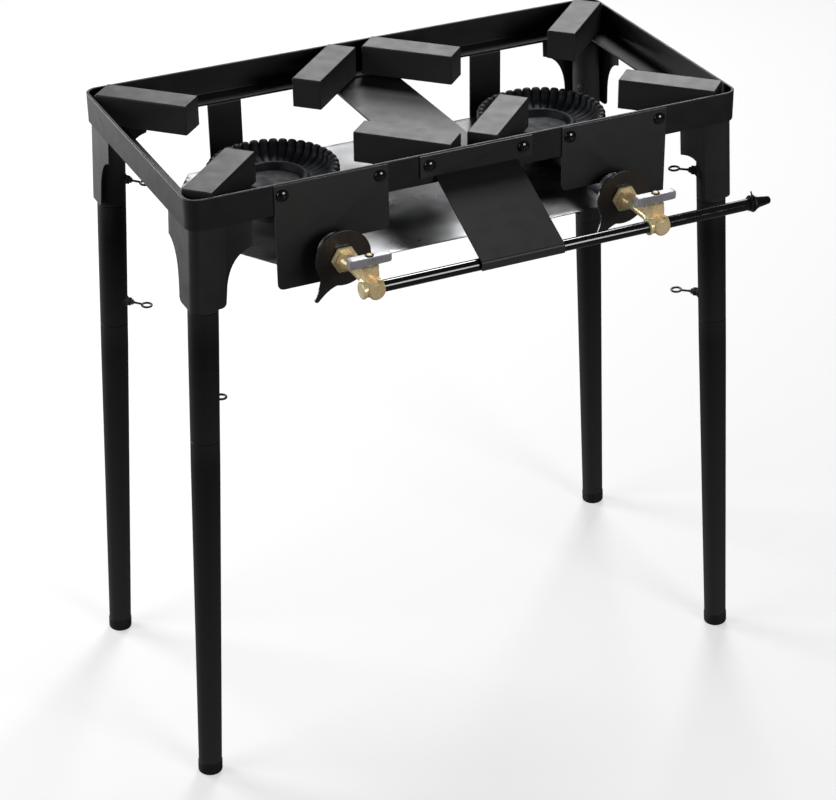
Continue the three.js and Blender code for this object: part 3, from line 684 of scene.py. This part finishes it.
def build_leg(where, sign_x, sign_y):
    matrix, down = leg_frame(where)
    first_seam = Vector(joints[f"leg_upper_{where}_slide"]["pos_m"]) / MM
    second_seam = Vector(joints[f"leg_lower_{where}_slide"]["pos_m"]) / MM
    socket_top = (box(f"leg_socket_{where}")[1].z - first_seam.z) / -down.z
    upper_length = (second_seam - first_seam).length
    floor_drop = first_seam.z / -down.z
    lower_end = -(floor_drop - CAP_HEIGHT)
    inward = math.atan2(-sign_y, -sign_x)
    slot = "black_powder_coat"

    mesh = new_mesh()
    lathe(mesh, [(LEG_TOP, 0.5), (LEG_TOP, socket_top), (SOCKET_BORE, socket_top), (SOCKET_BORE, 0.0),
                 (LEG_TOP - 0.6, 0.0), (LEG_TOP, 0.5)])
    nut_height = seam_height(f"eye_screw_upper_{where}_back_out", first_seam, down)
    add_weld_nut(mesh, LEG_TOP, nut_height, inward)
    leg_piece(f"tube_leg_socket_{where}", f"leg_socket_{where}", mesh, matrix, coat_leg, slot)

    top = -0.3
    bottom = top - upper_length + 0.3
    mesh = new_mesh()
    lathe(mesh, [
        (LEG_JOINT - 0.6, bottom), (LEG_JOINT, bottom + 0.5), (LEG_TOP, top - 40), (LEG_TOP, top - 0.6),
        (LEG_TOP - 0.6, top), (UPPER_SPIGOT, top), (UPPER_SPIGOT, top + SPIGOT_LENGTH - 2),
        (UPPER_SPIGOT - 0.8, top + SPIGOT_LENGTH), (UPPER_SPIGOT_BORE, top + SPIGOT_LENGTH),
        (UPPER_SPIGOT_BORE, top - 3), (UPPER_BORE, top - 6), (UPPER_BORE, bottom + SPIGOT_LENGTH + 6),
        (LOWER_SOCKET_BORE, bottom + SPIGOT_LENGTH + 4), (LOWER_SOCKET_BORE, bottom),
        (LEG_JOINT - 0.6, bottom),
    ])
    nut_height = seam_height(f"eye_screw_lower_{where}_back_out", first_seam, down)
    add_weld_nut(mesh, LEG_JOINT, nut_height, inward)
    leg_piece(f"tube_leg_upper_{where}", f"leg_upper_{where}", mesh, matrix, coat_leg, slot)

    top = bottom - 0.3
    mesh = new_mesh()
    lathe(mesh, [
        (LEG_FOOT, lower_end), (LEG_JOINT, top - 30), (LEG_JOINT, top - 0.6), (LEG_JOINT - 0.6, top),
        (LOWER_SPIGOT, top), (LOWER_SPIGOT, top + SPIGOT_LENGTH - 2),
        (LOWER_SPIGOT - 0.8, top + SPIGOT_LENGTH), (LOWER_SPIGOT_BORE, top + SPIGOT_LENGTH),
        (LOWER_BORE, lower_end), (LEG_FOOT, lower_end),
    ])
    leg_piece(f"tube_leg_lower_{where}", f"leg_lower_{where}", mesh, matrix, coat_leg, slot)
    build_foot_cap(where, matrix, lower_end)
    for level, tube, spigot in (("upper", LEG_TOP, UPPER_SPIGOT), ("lower", LEG_JOINT, LOWER_SPIGOT)):
        height = seam_height(f"eye_screw_{level}_{where}_back_out", first_seam, down)
        build_eye_screw(f"eye_screw_{level}_{where}", matrix, height, inward, tube, spigot)


def seam_height(joint_name, first_seam, down):
    """Height of a joint along the leg above the first seam, in millimetres."""
    return -(Vector(joints[joint_name]["pos_m"]) / MM - first_seam).dot(down)


def build_foot_cap(where, matrix, lower_end):
    rim = LEG_FOOT + 0.6
    sole = lower_end - CAP_HEIGHT - 1.5
    plug = LOWER_BORE - 0.3
    profile = [(0, sole), (rim - 3.0, sole)]
    profile += [(rim - 3.0 + x, sole + 4.0 + y) for x, y in arc((0, 0), 3.0, -75, 0, 6)]
    profile += [(rim, lower_end - 1.6), (rim - 0.4, lower_end - 0.6), (rim - 1.2, lower_end - 0.3)]
    profile += [(plug, lower_end - 0.3), (plug, lower_end + CAP_PLUG), (0, lower_end + CAP_PLUG)]
    mesh = new_mesh()
    lathe(mesh, profile)
    bmesh.ops.transform(mesh, matrix=matrix, verts=mesh.verts[:])
    for vert in mesh.verts:
        vert.co.z = max(vert.co.z, 0.0)
    node = f"foot_cap_{where}"
    return paint(make_piece(f"moulded_{node}", mesh, node), rubber)


def build_eye_screw(node, matrix, height, inward, tube, spigot):
    """Threaded shank, hexagon collar, thin neck and a bent wire eye that lies flat."""
    mesh = new_mesh()
    tip = spigot + 0.4
    collar = tube + NUT_HEIGHT + 0.5
    pitch = 1.0
    turns = 20
    steps = int((collar - tip) / pitch * 6)
    rows = []
    for i in range(steps + 1):
        x = tip + (collar + 0.5 - tip) * i / steps
        row = []
        for k in range(turns):
            angle = 2 * math.pi * k / turns
            phase = (x / pitch - k / turns) % 1.0
            radius = SHANK - 0.45 * abs(2 * phase - 1)
            row.append((x, radius * math.cos(angle), radius * math.sin(angle)))
        rows.append(row)
    verts = add_grid(mesh, rows, wrap_columns=True)
    mesh.faces.new(verts[0])
    mesh.faces.new(verts[-1])
    lathe(mesh, [(0, collar), (3.3, collar), (3.7, collar + 0.5), (3.7, collar + 1.7), (3.2, collar + 2.3),
                 (0, collar + 2.3)], 6, "x")
    neck_end = EYE_CENTRE - EYE_RADIUS + 0.3
    lathe(mesh, [(0, collar + 1), (1.7, collar + 1), (1.7, collar + 3.2), (EYE_WIRE, collar + 5),
                 (EYE_WIRE, neck_end), (0, neck_end)], 16, "x")
    ring = []
    for i in range(40):
        around = 2 * math.pi * i / 40
        outward = Vector((math.cos(around), math.sin(around), 0))
        row = []
        for k in range(12):
            angle = 2 * math.pi * k / 12
            spot = outward * (EYE_RADIUS + EYE_WIRE * math.cos(angle))
            row.append((EYE_CENTRE + spot.x, spot.y, EYE_WIRE * math.sin(angle)))
        ring.append(row)
    add_grid(mesh, ring, wrap_rows=True, wrap_columns=True)
    place = matrix @ Matrix.Translation((0, 0, height)) @ Matrix.Rotation(inward, 4, "Z")
    return leg_piece(f"wire_{node}", node, mesh, place, wire_coat, "black_wire")


# ---- Burners ----
def lobe_height(angle):
    """0 in the slots between crown bumps, 1 on top of a bump, round like a bead."""
    share = (angle * CROWN_LOBES / (2 * math.pi)) % 1.0
    across = abs(2 * share - 1)
    return math.sqrt(max(0.0, 1 - across ** 2.2))


def build_burner(side, sign):
    node = f"burner_{side}"
    low, high = box(node)
    centre_x = (low.x + high.x) / 2
    top = high.z
    foot = low.z
    seat = top - CROWN_HEIGHT
    body = bmesh.new()
    # radius, height, how deep the slots between bumps cut in
    section = [(26, foot, 0), (26, foot + 5, 0), (27.5, foot + 7.5, 0), (34, foot + 10.5, 0)]
    section += [(44 + 5 * k, foot + 13 + 3.4 * k, 0) for k in range(5)]
    section += [(69, seat - 16, 0), (71.5, seat - 13, 0), (72.2, seat - 11, 0.6), (72.5, seat - 8, 2.2)]
    section += [(72.8, seat - 4, 3.0), (73, seat, 3.4), (73, seat + 4, 3.6)]
    bump_centre = (68.5, seat + 4.4)
    section += [(x, z, 3.8) for x, z in arc(bump_centre, 4.6, 8, 172, 10)]
    section += [(63.6, seat + 1, 3.4), (62.5, seat - 1.5, 2.6), (60, seat - 4, 2.0), (56, seat - 6.5, 1.6)]
    section += [(50, seat - 8.5, 1.2), (44, seat - 9.5, 0.8), (41, seat - 9, 0.3), (39.2, seat - 7.4, 0)]
    section += [(x, z, 0) for x, z in arc((35.4, seat - 6.8), 3.2, 20, 160, 6)]
    section += [(31.5, seat - 8, 0), (30, seat - 11, 0), (20, seat - 12, 0), (10, seat - 12, 0)]
    segments = CROWN_LOBES * 10
    rings = []
    count = len(section)
    for i, (radius, height, depth) in enumerate(section):
        before = section[max(i - 1, 0)]
        after = section[min(i + 1, count - 1)]
        run = Vector((after[0] - before[0], after[1] - before[1])).normalized()
        outward = Vector((run.y, -run.x))
        row = []
        for k in range(segments):
            angle = 2 * math.pi * k / segments
            cut = depth * (1 - lobe_height(angle))
            r = radius - outward.x * cut
            z = height - outward.y * cut
            row.append((centre_x + r * math.cos(angle), ring_middle.y + r * math.sin(angle), z))
        rings.append(row)
    verts = add_grid(body, rings, wrap_columns=True)
    body.faces.new(verts[0])
    body.faces.new(verts[-1])

    gas_z = Vector(joints[f"air_shutter_{side}_turn"]["pos_m"]).z / MM
    mouth = low.y
    tube = bmesh.new()
    inner_end = ring_middle.y - 40
    flare = [(BELL, mouth), (BELL, mouth + 1.6), (BELL - 1.2, mouth + 3.0)]
    flare += curve_through(flare[-1], (VENTURI + 2.5, mouth + 7), (VENTURI, mouth + 20), 10)
    throat = curve_through((VENTURI_BORE, mouth + 20), (VENTURI_BORE + 3, mouth + 8), (BELL - 3, mouth), 8)
    profile = flare + [(VENTURI, inner_end + 16), (0, inner_end + 16), (0, inner_end)]
    profile += [(VENTURI_BORE, inner_end)] + throat + [(BELL, mouth)]
    lathe(tube, profile[:-1] + [profile[0]], 64, "y", (centre_x, 0, gas_z))
    mesh = join_solids(node, [body, tube])
    piece = make_piece(f"cast_{node}", mesh, node)
    return paint(piece, iron)


def build_air_shutter(side):
    """Round plate with a pointed finger tail, turned about the gas axis."""
    node = f"air_shutter_{side}"
    low, high = box(node)
    axis = Vector(joints[f"{node}_turn"]["pos_m"]) / MM
    root = math.radians(21)
    tip_radius = 2.6
    start = math.degrees(SHUTTER_TAIL_ANGLE + root)
    end = math.degrees(SHUTTER_TAIL_ANGLE - root) + 360
    outline = arc((0, 0), SHUTTER_RADIUS, start, end, 56)
    tip = SHUTTER_TAIL - tip_radius

    def along_tail(distance, across):
        c, s = math.cos(SHUTTER_TAIL_ANGLE), math.sin(SHUTTER_TAIL_ANGLE)
        return (distance * c - across * s, distance * s + across * c)

    upper = (tip, -tip_radius)
    bend = (SHUTTER_RADIUS + 6, -4.5)
    outline += [along_tail(*p) for p in curve_through(inverse_tail(outline[-1]), bend, upper, 8)]
    outline += [along_tail(tip + x, y) for x, y in arc((0, 0), tip_radius, -75, 90, 7)]
    last = inverse_tail(outline[0])
    outline += [along_tail(*p) for p in curve_through((tip, tip_radius), (bend[0], -bend[1]), last, 8)[:-1]]
    thickness = high.y - low.y
    mesh = new_mesh()
    extrude_outline(mesh, outline, thickness, lambda u, v, w: (axis.x + u, low.y + w, axis.z + v))
    piece = make_piece(f"plate_{node}", mesh, node, bevel=0.7, segments=3)
    return paint(piece, shutter_coat)


def inverse_tail(point):
    """The same point in the tail's own direction: distance along it and offset across it."""
    c, s = math.cos(SHUTTER_TAIL_ANGLE), math.sin(SHUTTER_TAIL_ANGLE)
    return (point[0] * c + point[1] * s, point[1] * c - point[0] * s)


# ---- Gas line ----
def solid(profile, segments=48, axis="z", centre=(0, 0, 0), turn=0.0):
    part = bmesh.new()
    lathe(part, profile, segments, axis, centre, turn)
    return part


def rod_profile(radius, start, end, chamfer=0.6, end_radius=None):
    """Outline of a plain rod or cone whose end corners are broken."""
    far = radius if end_radius is None else end_radius
    return [(0, start), (radius - chamfer, start), (radius, start + chamfer), (far, end - chamfer),
            (far - chamfer, end), (0, end)]


def hex_profile(flats, start, end, chamfer=1.0):
    corner = flats / math.sqrt(3)
    return [(0, start), (corner - chamfer, start), (corner, start + chamfer * 0.6),
            (corner, end - chamfer * 0.6), (corner - chamfer, end), (0, end)]


def build_valve(side, sign):
    node = f"valve_body_{side}"
    low, high = box(node)
    joint = Vector(joints[f"valve_lever_{side}_turn"]["pos_m"]) / MM
    gas_z = Vector(joints[f"air_shutter_{side}_turn"]["pos_m"]).z / MM
    pipe_y = joint.y - STEM_SETBACK
    outlet = high.y - 16.0
    centre = (joint.x, pipe_y, gas_z)
    reach = outlet - pipe_y
    lever_low = box(f"valve_lever_{side}")[0].z - gas_z
    parts = [
        solid(rod_profile(8.2, -14, 9.5, 0.6), 48, "x", centre),
        solid(rod_profile(9.2, -14, -11, 0.6), 48, "x", centre),
        solid([(0, -10), (7.6, -10), (8.6, -9.4), (9.5, -8.4), (9.5, 15), (8.4, 16), (0, 16)], 48, "y", centre),
        solid(rod_profile(7.5, 15, 27, 0.4, 5.6), 40, "y", centre),
        solid(rod_profile(5.6, 26, reach - 12, 0.3), 40, "y", centre),
        solid(rod_profile(6, reach - 19, reach - 11, 0.3, 9.4), 40, "y", centre),
        solid(hex_profile(19, reach - 12, reach - 4, 0.9), 6, "y", centre),
        solid(hex_profile(26, reach - 5, reach - 1.0, 0.8), 6, "y", centre),
        solid(rod_profile(6, reach - 2, reach + 16, 0.8, 4.5), 40, "y", centre),
        block((15, 15, 16), (joint.x, joint.y, gas_z + 10), 1.0),
        solid(rod_profile(9.4, 17, lever_low - 0.3, 0.9), 48, "z", (joint.x, joint.y, gas_z)),
        solid(rod_profile(3, lever_low - 1, high.z - gas_z, 0.5), 32, "z", (joint.x, joint.y, gas_z)),
    ]
    mesh = join_solids(node, parts)
    piece = make_piece(f"machined_{node}", mesh, node, smooth_angle=28)
    return paint(piece, brass)


def block(size, centre, bevel):
    part = bmesh.new()
    bmesh.ops.create_cube(part, size=1.0)
    bmesh.ops.scale(part, vec=size, verts=part.verts[:])
    bmesh.ops.bevel(part, geom=part.edges[:], offset=bevel, segments=3, profile=0.5, affect="EDGES")
    bmesh.ops.translate(part, vec=centre, verts=part.verts[:])
    return part


def build_lever(side):
    """Cast lever: a bar that is fuller at its left end and slimmer at its right."""
    node = f"valve_lever_{side}"
    low, high = box(node)
    centre_y = (low.y + high.y) / 2
    half = (high.y - low.y) / 2
    length = high.x - low.x
    rows = []
    stations = [0.0, 0.012, 0.04, 0.1, 0.2, 0.35, 0.5, 0.7, 0.9, 0.97, 1.0]
    for share in stations:
        ends = min(share, 1 - share) * length
        inset = 0.0 if ends > 1.8 else 1.1 * (1 - ends / 1.8) ** 1.5
        width = half * (1.0 - 0.1 * share) - inset
        top = high.z - 0.3 * share - inset
        bottom = low.z + 0.9 * share + inset
        corners = [(centre_y - width, bottom), (centre_y + width, bottom), (centre_y + width, top),
                   (centre_y - width, top)]
        rows.append([(low.x + share * length, y, z) for y, z in rounded(corners, 1.2, 4)])
    mesh = new_mesh()
    verts = add_grid(mesh, rows, wrap_columns=True)
    mesh.faces.new(verts[0])
    mesh.faces.new(verts[-1])
    paint(make_piece(f"cast_{node}", mesh, node), zinc)
    build_stem_shade_ring(side, high.z)


def build_stem_shade_ring(side, top):
    """Dark ring round the valve stem, lying on the lever: painted shade standing in for the shaded gap between the
    stem and the lever.
    """
    stem = Vector(joints[f"valve_lever_{side}_turn"]["pos_m"]) / MM
    mesh = new_mesh()
    profile = arc((3.9, top + 0.1), 0.75, 0, 360, 10)
    lathe(mesh, profile[:-1] + [profile[0]], 32, "z", (stem.x, stem.y, 0))
    paint(make_piece(f"stem_shade_ring_{side}", mesh, body=f"valve_lever_{side}"), rubber)


def build_pipe():
    low, high = box("manifold_pipe")
    axis = (low + high) / 2
    mesh = new_mesh()
    lathe(mesh, [(PIPE_RADIUS - 0.5, low.x), (PIPE_RADIUS, low.x + 0.5), (PIPE_RADIUS, high.x - 0.5),
                 (PIPE_RADIUS - 0.5, high.x), (PIPE_BORE, high.x), (PIPE_BORE, low.x),
                 (PIPE_RADIUS - 0.5, low.x)], 64, "x", (0, axis.y, axis.z))
    paint(make_piece("tube_manifold_pipe", mesh, "manifold_pipe"), enamel)
    low, high = box("gas_inlet_fitting")
    start = box("manifold_pipe")[1].x
    mesh = new_mesh()
    plug = PIPE_BORE - 0.3
    tip = high.x
    lathe(mesh, [
        (plug, start - 12), (plug, start + 0.3), (PIPE_RADIUS + 0.5, start + 0.3), (PIPE_RADIUS + 1.2, start + 1),
        (PIPE_RADIUS + 1.2, start + 9), (PIPE_RADIUS + 0.6, start + 10.5), (PIPE_RADIUS - 0.5, start + 13),
        (PIPE_RADIUS - 1.2, start + 19), (PIPE_RADIUS - 2.2, tip - 1), (PIPE_RADIUS - 3.0, tip), (2.5, tip),
        (2.5, start - 12), (plug, start - 12)], 48, "x", (0, axis.y, axis.z))
    paint(make_piece("turned_gas_inlet_fitting", mesh, "gas_inlet_fitting"), enamel)
    build_wire_tie(start + 3, axis)


def build_wire_tie(x, axis):
    """A twist of coated wire round the inlet with its two ends poking out."""
    radius = PIPE_RADIUS + 1.2 + 1.0
    path = []
    for k in range(34):
        angle = math.radians(110 - 460 * k / 33)
        path.append((x + 5 * k / 33, axis.y + radius * math.cos(angle), axis.z + radius * math.sin(angle)))
    first = Vector(path[0])
    last = Vector(path[-1])
    lead = [tuple(first + Vector((-3, -2, 9))), tuple(first + Vector((-1, -1.5, 4)))]
    trail = [tuple(last + Vector((2, -3.5, -3))), tuple(last + Vector((4, -3, -7)))]
    mesh = new_mesh()
    add_wire(mesh, lead + path + trail, 0.9)
    paint(make_piece("inlet_wire_tie", mesh, body="stand"), wire_coat)


def add_wire(mesh, path, radius, sides=10):
    """Round wire along a path of points, with closed ends."""
    points = [Vector(p) for p in path]
    rows = []
    across = Vector((0, 0, 1))
    for i, point in enumerate(points):
        run = (points[min(i + 1, len(points) - 1)] - points[max(i - 1, 0)]).normalized()
        across = (across - run * across.dot(run)).normalized()
        other = run.cross(across)
        row = []
        for k in range(sides):
            angle = 2 * math.pi * k / sides
            row.append(tuple(point + (across * math.cos(angle) + other * math.sin(angle)) * radius))
        rows.append(row)
    verts = add_grid(mesh, rows, wrap_columns=True)
    mesh.faces.new(verts[0])
    mesh.faces.new(verts[-1])


# ---- Sheet parts ----
def bent_path(points, radius, steps=5):
    """A folded sheet's side view with round bends, as (y, z) points and the run along them."""
    return rounded(points, radius, steps, closed=False)


def build_manifold_bracket():
    """Ears on the band, a sloping tongue and a lip in front of the pipe."""
    low, high = box("manifold_bracket")
    wall = 2.0
    ear_bottom = high.z - EAR_HEIGHT
    back = high.y
    side_view = [(back, high.z), (back, ear_bottom), (low.y + wall, low.z + LIP_HEIGHT), (low.y + wall, low.z)]
    path = bent_path(side_view, 1.0, 4)
    mesh = new_mesh()
    rows = []
    for y, z in path:
        outer = high.x if y >= back - 1e-6 else TONGUE_HALF
        rows.append([(x, y, z) for x in (-outer, -TONGUE_HALF, TONGUE_HALF, outer)])
    ear_rows = sum(1 for y, z in path if y >= back - 1e-6)
    middle = [row[1:3] for row in rows]
    verts = add_grid(mesh, middle)
    for edge, column in ((0, 0), (1, 3)):
        corner_top = mesh.verts.new(rows[0][column])
        corner_low = mesh.verts.new(rows[ear_rows - 1][column])
        mesh.faces.new((verts[0][edge], verts[ear_rows - 1][edge], corner_low, corner_top))
    piece = make_piece("bent_manifold_bracket", mesh, "manifold_bracket", bevel=SHEET_EDGE, segments=2)
    add_sheet_thickness(piece, wall, "front")
    return paint(piece, coat_frame)


def add_sheet_thickness(piece, wall, side):
    walls = piece.modifiers.new("sheet", "SOLIDIFY")
    walls.thickness = wall * MM
    walls.use_even_offset = True
    facing = sum((p.normal.y * p.area for p in piece.data.polygons))
    towards_front = -1 if side == "front" else 1
    walls.offset = 1.0 if facing * towards_front > 0 else -1.0
    piece.modifiers.move(len(piece.modifiers) - 1, 0)


def build_wind_panel(side, sign):
    node = f"wind_panel_{side}"
    low, high = box(node)
    centre_x = abs(Vector(joints[f"air_shutter_{side}_turn"]["pos_m"]).x) / MM
    gas_z = Vector(joints[f"air_shutter_{side}_turn"]["pos_m"]).z / MM
    inner, outer = sorted((abs(low.x), abs(high.x)))
    short_bottom = high.z - 73
    round_corner = 8
    lift = math.degrees(math.asin((short_bottom - gas_z) / PANEL_NOTCH))
    hook = -math.degrees(math.acos((PANEL_LONG_INNER - centre_x) / PANEL_NOTCH))
    outline = [(inner, high.z), (inner, short_bottom + round_corner)]
    outline += curve_through(outline[-1], (inner, short_bottom), (inner + round_corner, short_bottom), 6)
    outline += arc((centre_x, gas_z), PANEL_NOTCH, 180 - lift, hook, 40)
    outline += [(PANEL_LONG_INNER, low.z), (outer - round_corner, low.z)]
    outline += curve_through(outline[-1], (outer, low.z), (outer, low.z + round_corner), 6)
    outline.append((outer, high.z))
    mesh = new_mesh()
    extrude_outline(mesh, outline, high.y - low.y, lambda u, v, w: (sign * u, low.y + w, v))
    piece = make_piece(f"sheet_{node}", mesh, node, bevel=SHEET_EDGE, segments=2)
    return paint(piece, coat_frame)


def build_tray():
    """Thin polished sheet with clipped corners and a faint wave from handling."""
    low, high = box("heat_shield_tray")
    mesh = new_mesh()
    columns, rows_count = 64, 36
    rows = []
    for i in range(rows_count + 1):
        y = low.y + (high.y - low.y) * i / rows_count
        row = []
        for k in range(columns + 1):
            x = low.x + (high.x - low.x) * k / columns
            wave = noise.noise(Vector((x / 70, y / 55, 3.1)))
            row.append((x, y, high.z - 0.25 - 0.22 * wave))
        rows.append(row)
    add_grid(mesh, rows)
    clip_x, clip_y = TRAY_CLIP
    for sign_x in (-1, 1):
        edge = high.x if sign_x > 0 else low.x
        corners = [((edge, low.y + clip_y), (edge - sign_x * clip_x, low.y)),
                   ((edge, high.y - clip_y / 2), (edge - sign_x * clip_x / 2, high.y))]
        for (x0, y0), (x1, y1) in corners:
            normal = Vector((y1 - y0, x0 - x1, 0)).normalized()
            if normal.dot(Vector((x0, y0 - (low.y + high.y) / 2, 0))) < 0:
                normal.negate()
            bmesh.ops.bisect_plane(
                mesh, geom=mesh.verts[:] + mesh.edges[:] + mesh.faces[:], plane_co=(x0, y0, high.z),
                plane_no=normal, clear_outer=True)
    piece = make_piece("polished_heat_shield_tray", mesh, "heat_shield_tray")
    walls = piece.modifiers.new("sheet", "SOLIDIFY")
    walls.thickness = 1.0 * MM
    facing_up = piece.data.polygons[0].normal.z > 0
    walls.offset = -1.0 if facing_up else 1.0
    piece.modifiers.move(1, 0)
    return paint(piece, tray_steel)


def build_hanger_strap(side):
    node = f"hanger_strap_{side}"
    low, high = box(node)
    wall = 2.5
    back = high.y - 16
    side_view = [(high.y, high.z), (back - wall, high.z), (back - wall, low.z + wall), (low.y, low.z + wall)]
    path = bent_path(side_view, 4, 5)
    rows = [[(low.x, y, z), (high.x, y, z)] for y, z in path]
    mesh = new_mesh()
    add_grid(mesh, rows)
    piece = make_piece(f"bent_{node}", mesh, node, bevel=SHEET_EDGE, segments=2)
    walls = piece.modifiers.new("sheet", "SOLIDIFY")
    walls.thickness = wall * MM
    walls.use_even_offset = True
    upright = [p for p in piece.data.polygons if abs(p.normal.y) > 0.9]
    faces_back = upright[0].normal.y > 0
    walls.offset = 1.0 if faces_back else -1.0
    piece.modifiers.move(len(piece.modifiers) - 1, 0)
    return paint(piece, coat_frame)


def build_screw(node):
    """Domed head on a plain shank."""
    low, high = box(node)
    x = (low.x + high.x) / 2
    z = (low.z + high.z) / 2
    radius = (high.z - low.z) / 2
    seat = low.y + DOME_HEIGHT
    crown = DOME_HEIGHT - 0.6
    profile = [(0, high.y), (DOME_SHANK, high.y), (DOME_SHANK, seat), (radius, seat), (radius, seat - 0.6)]
    profile += [(radius * math.cos(math.radians(a)), seat - 0.6 - crown * math.sin(math.radians(a)))
                for a in range(9, 90, 9)]
    profile.append((0, low.y))
    mesh = new_mesh()
    lathe(mesh, profile, 40, "y", (x, 0, z))
    return paint(make_piece(f"dome_{node}", mesh, node), enamel)


# ---- Build everything ----
shutter_coat = powder_coat("shutter_coat", (0.014, 0.011, 0.008), (0.028, 0.022, 0.016), 0.26, specular=0.6)


def build_object():
    build_frame_ring()
    build_centre_plate()
    for depth, sign_y in DEPTHS.items():
        for side, sign_x in SIDES.items():
            where = f"{depth}_{side}"
            build_corner_bracket(where, sign_x, sign_y)
            build_pot_support(f"pot_support_{where}_corner", sign_x, sign_y, -sign_x)
            build_pot_support(f"pot_support_{where}_middle", sign_x, sign_y, sign_x)
            build_leg(where, sign_x, sign_y)
    for side, sign in SIDES.items():
        build_burner(side, sign)
        build_air_shutter(side)
        build_valve(side, sign)
        build_lever(side)
        build_wind_panel(side, sign)
        build_hanger_strap(side)
        for kind in ("bracket_screw", "panel_screw_inner", "panel_screw_outer"):
            build_screw(f"{kind}_{side}")
    build_pipe()
    build_manifold_bracket()
    build_tray()


# ---- Studio ----
def build_floor():
    mesh = bmesh.new()
    rows = [[(x, y, -0.0004) for x in (-14, -4, 4, 14)] for y in (-14, -4, 4, 14)]
    add_grid(mesh, rows)
    bmesh.ops.recalc_face_normals(mesh, faces=mesh.faces[:])
    data = bpy.data.meshes.new("floor")
    mesh.to_mesh(data)
    mesh.free()
    floor = bpy.data.objects.new("floor", data)
    bpy.context.scene.collection.objects.link(floor)
    material = bpy.data.materials.new("pale_floor")
    material.use_nodes = True
    tree = material.node_tree
    tree.nodes.clear()
    output = tree.nodes.new("ShaderNodeOutputMaterial")
    lit = tree.nodes.new("ShaderNodeBsdfDiffuse")
    lit.inputs["Color"].default_value = (0.5, 0.5, 0.5, 1)
    glow = tree.nodes.new("ShaderNodeEmission")
    glow.inputs["Strength"].default_value = 0.5
    both = tree.nodes.new("ShaderNodeAddShader")
    dim = tree.nodes.new("ShaderNodeBsdfDiffuse")
    dim.inputs["Color"].default_value = (0.12, 0.12, 0.12, 1)
    pick = tree.nodes.new("ShaderNodeMixShader")
    path = tree.nodes.new("ShaderNodeLightPath")
    tree.links.new(lit.outputs[0], both.inputs[0])
    tree.links.new(glow.outputs[0], both.inputs[1])
    tree.links.new(path.outputs["Is Camera Ray"], pick.inputs[0])
    tree.links.new(dim.outputs[0], pick.inputs[1])
    tree.links.new(both.outputs[0], pick.inputs[2])
    tree.links.new(pick.outputs[0], output.inputs[0])
    data.materials.append(material)


def build_world():
    world = bpy.data.worlds.new("studio")
    world.use_nodes = True
    tree = world.node_tree
    tree.nodes.clear()
    output = tree.nodes.new("ShaderNodeOutputWorld")
    white = tree.nodes.new("ShaderNodeBackground")
    white.inputs["Strength"].default_value = 1.0
    dim = tree.nodes.new("ShaderNodeBackground")
    dim.inputs["Color"].default_value = (0.96, 0.98, 1.0, 1)
    dim.inputs["Strength"].default_value = 0.05
    pick = tree.nodes.new("ShaderNodeMixShader")
    path = tree.nodes.new("ShaderNodeLightPath")
    tree.links.new(path.outputs["Is Camera Ray"], pick.inputs[0])
    tree.links.new(dim.outputs[0], pick.inputs[1])
    tree.links.new(white.outputs[0], pick.inputs[2])
    tree.links.new(pick.outputs[0], output.inputs[0])
    bpy.context.scene.world = world


def add_softbox(name, place, aim, size, power):
    light = bpy.data.lights.new(name, "AREA")
    light.shape = "RECTANGLE"
    light.size, light.size_y = size
    light.energy = power
    lamp = bpy.data.objects.new(name, light)
    lamp.location = place
    lamp.rotation_euler = (Vector(aim) - Vector(place)).to_track_quat("-Z", "Y").to_euler()
    lamp.visible_camera = False
    bpy.context.scene.collection.objects.link(lamp)


def build_lights():
    middle = (cad_low + cad_high) / 2
    add_softbox("left_softbox", (-2.6, 0.3, 1.4), middle, (1.6, 1.6), 28)
    add_softbox("rear_left_softbox", (-1.6, 2.1, 0.75), middle, (1.2, 1.2), 62)
    add_softbox("back_softbox", (1.4, 2.6, 2.0), middle, (2.0, 1.0), 26)
    add_softbox("top_softbox", (1.2, 1.75, 2.95), middle, (0.8, 0.8), 42)
    add_softbox("front_softbox", (0.9, -2.8, 1.5), middle, (1.2, 1.2), 36)


CAMERA_AZIMUTH = math.radians(-24.7)
CAMERA_ELEVATION = math.radians(29.81)
CAMERA_ROLL = math.radians(-0.84)
CAMERA_DISTANCE = 2.8
CAMERA_LENS = 102.4
CAMERA_AIM = Vector((0.0044, 0.0505, 0.3184))


def build_camera():
    data = bpy.data.cameras.new("camera")
    data.lens = CAMERA_LENS
    data.sensor_width = 36.0
    data.clip_end = 60.0
    camera = bpy.data.objects.new("camera", data)
    flat = math.cos(CAMERA_ELEVATION)
    back = Vector((math.sin(CAMERA_AZIMUTH) * flat, -math.cos(CAMERA_AZIMUTH) * flat,
                   math.sin(CAMERA_ELEVATION)))
    camera.location = CAMERA_AIM + back * CAMERA_DISTANCE
    turn = (-back).to_track_quat("-Z", "Y").to_matrix() @ Matrix.Rotation(CAMERA_ROLL, 3, "Z")
    camera.rotation_euler = turn.to_euler()
    bpy.context.scene.collection.objects.link(camera)
    bpy.context.scene.camera = camera


build_object()
build_floor()
build_world()
build_lights()
build_camera()
bpy.context.scene.view_settings.view_transform = "Standard"

bpy.context.view_layer.update()
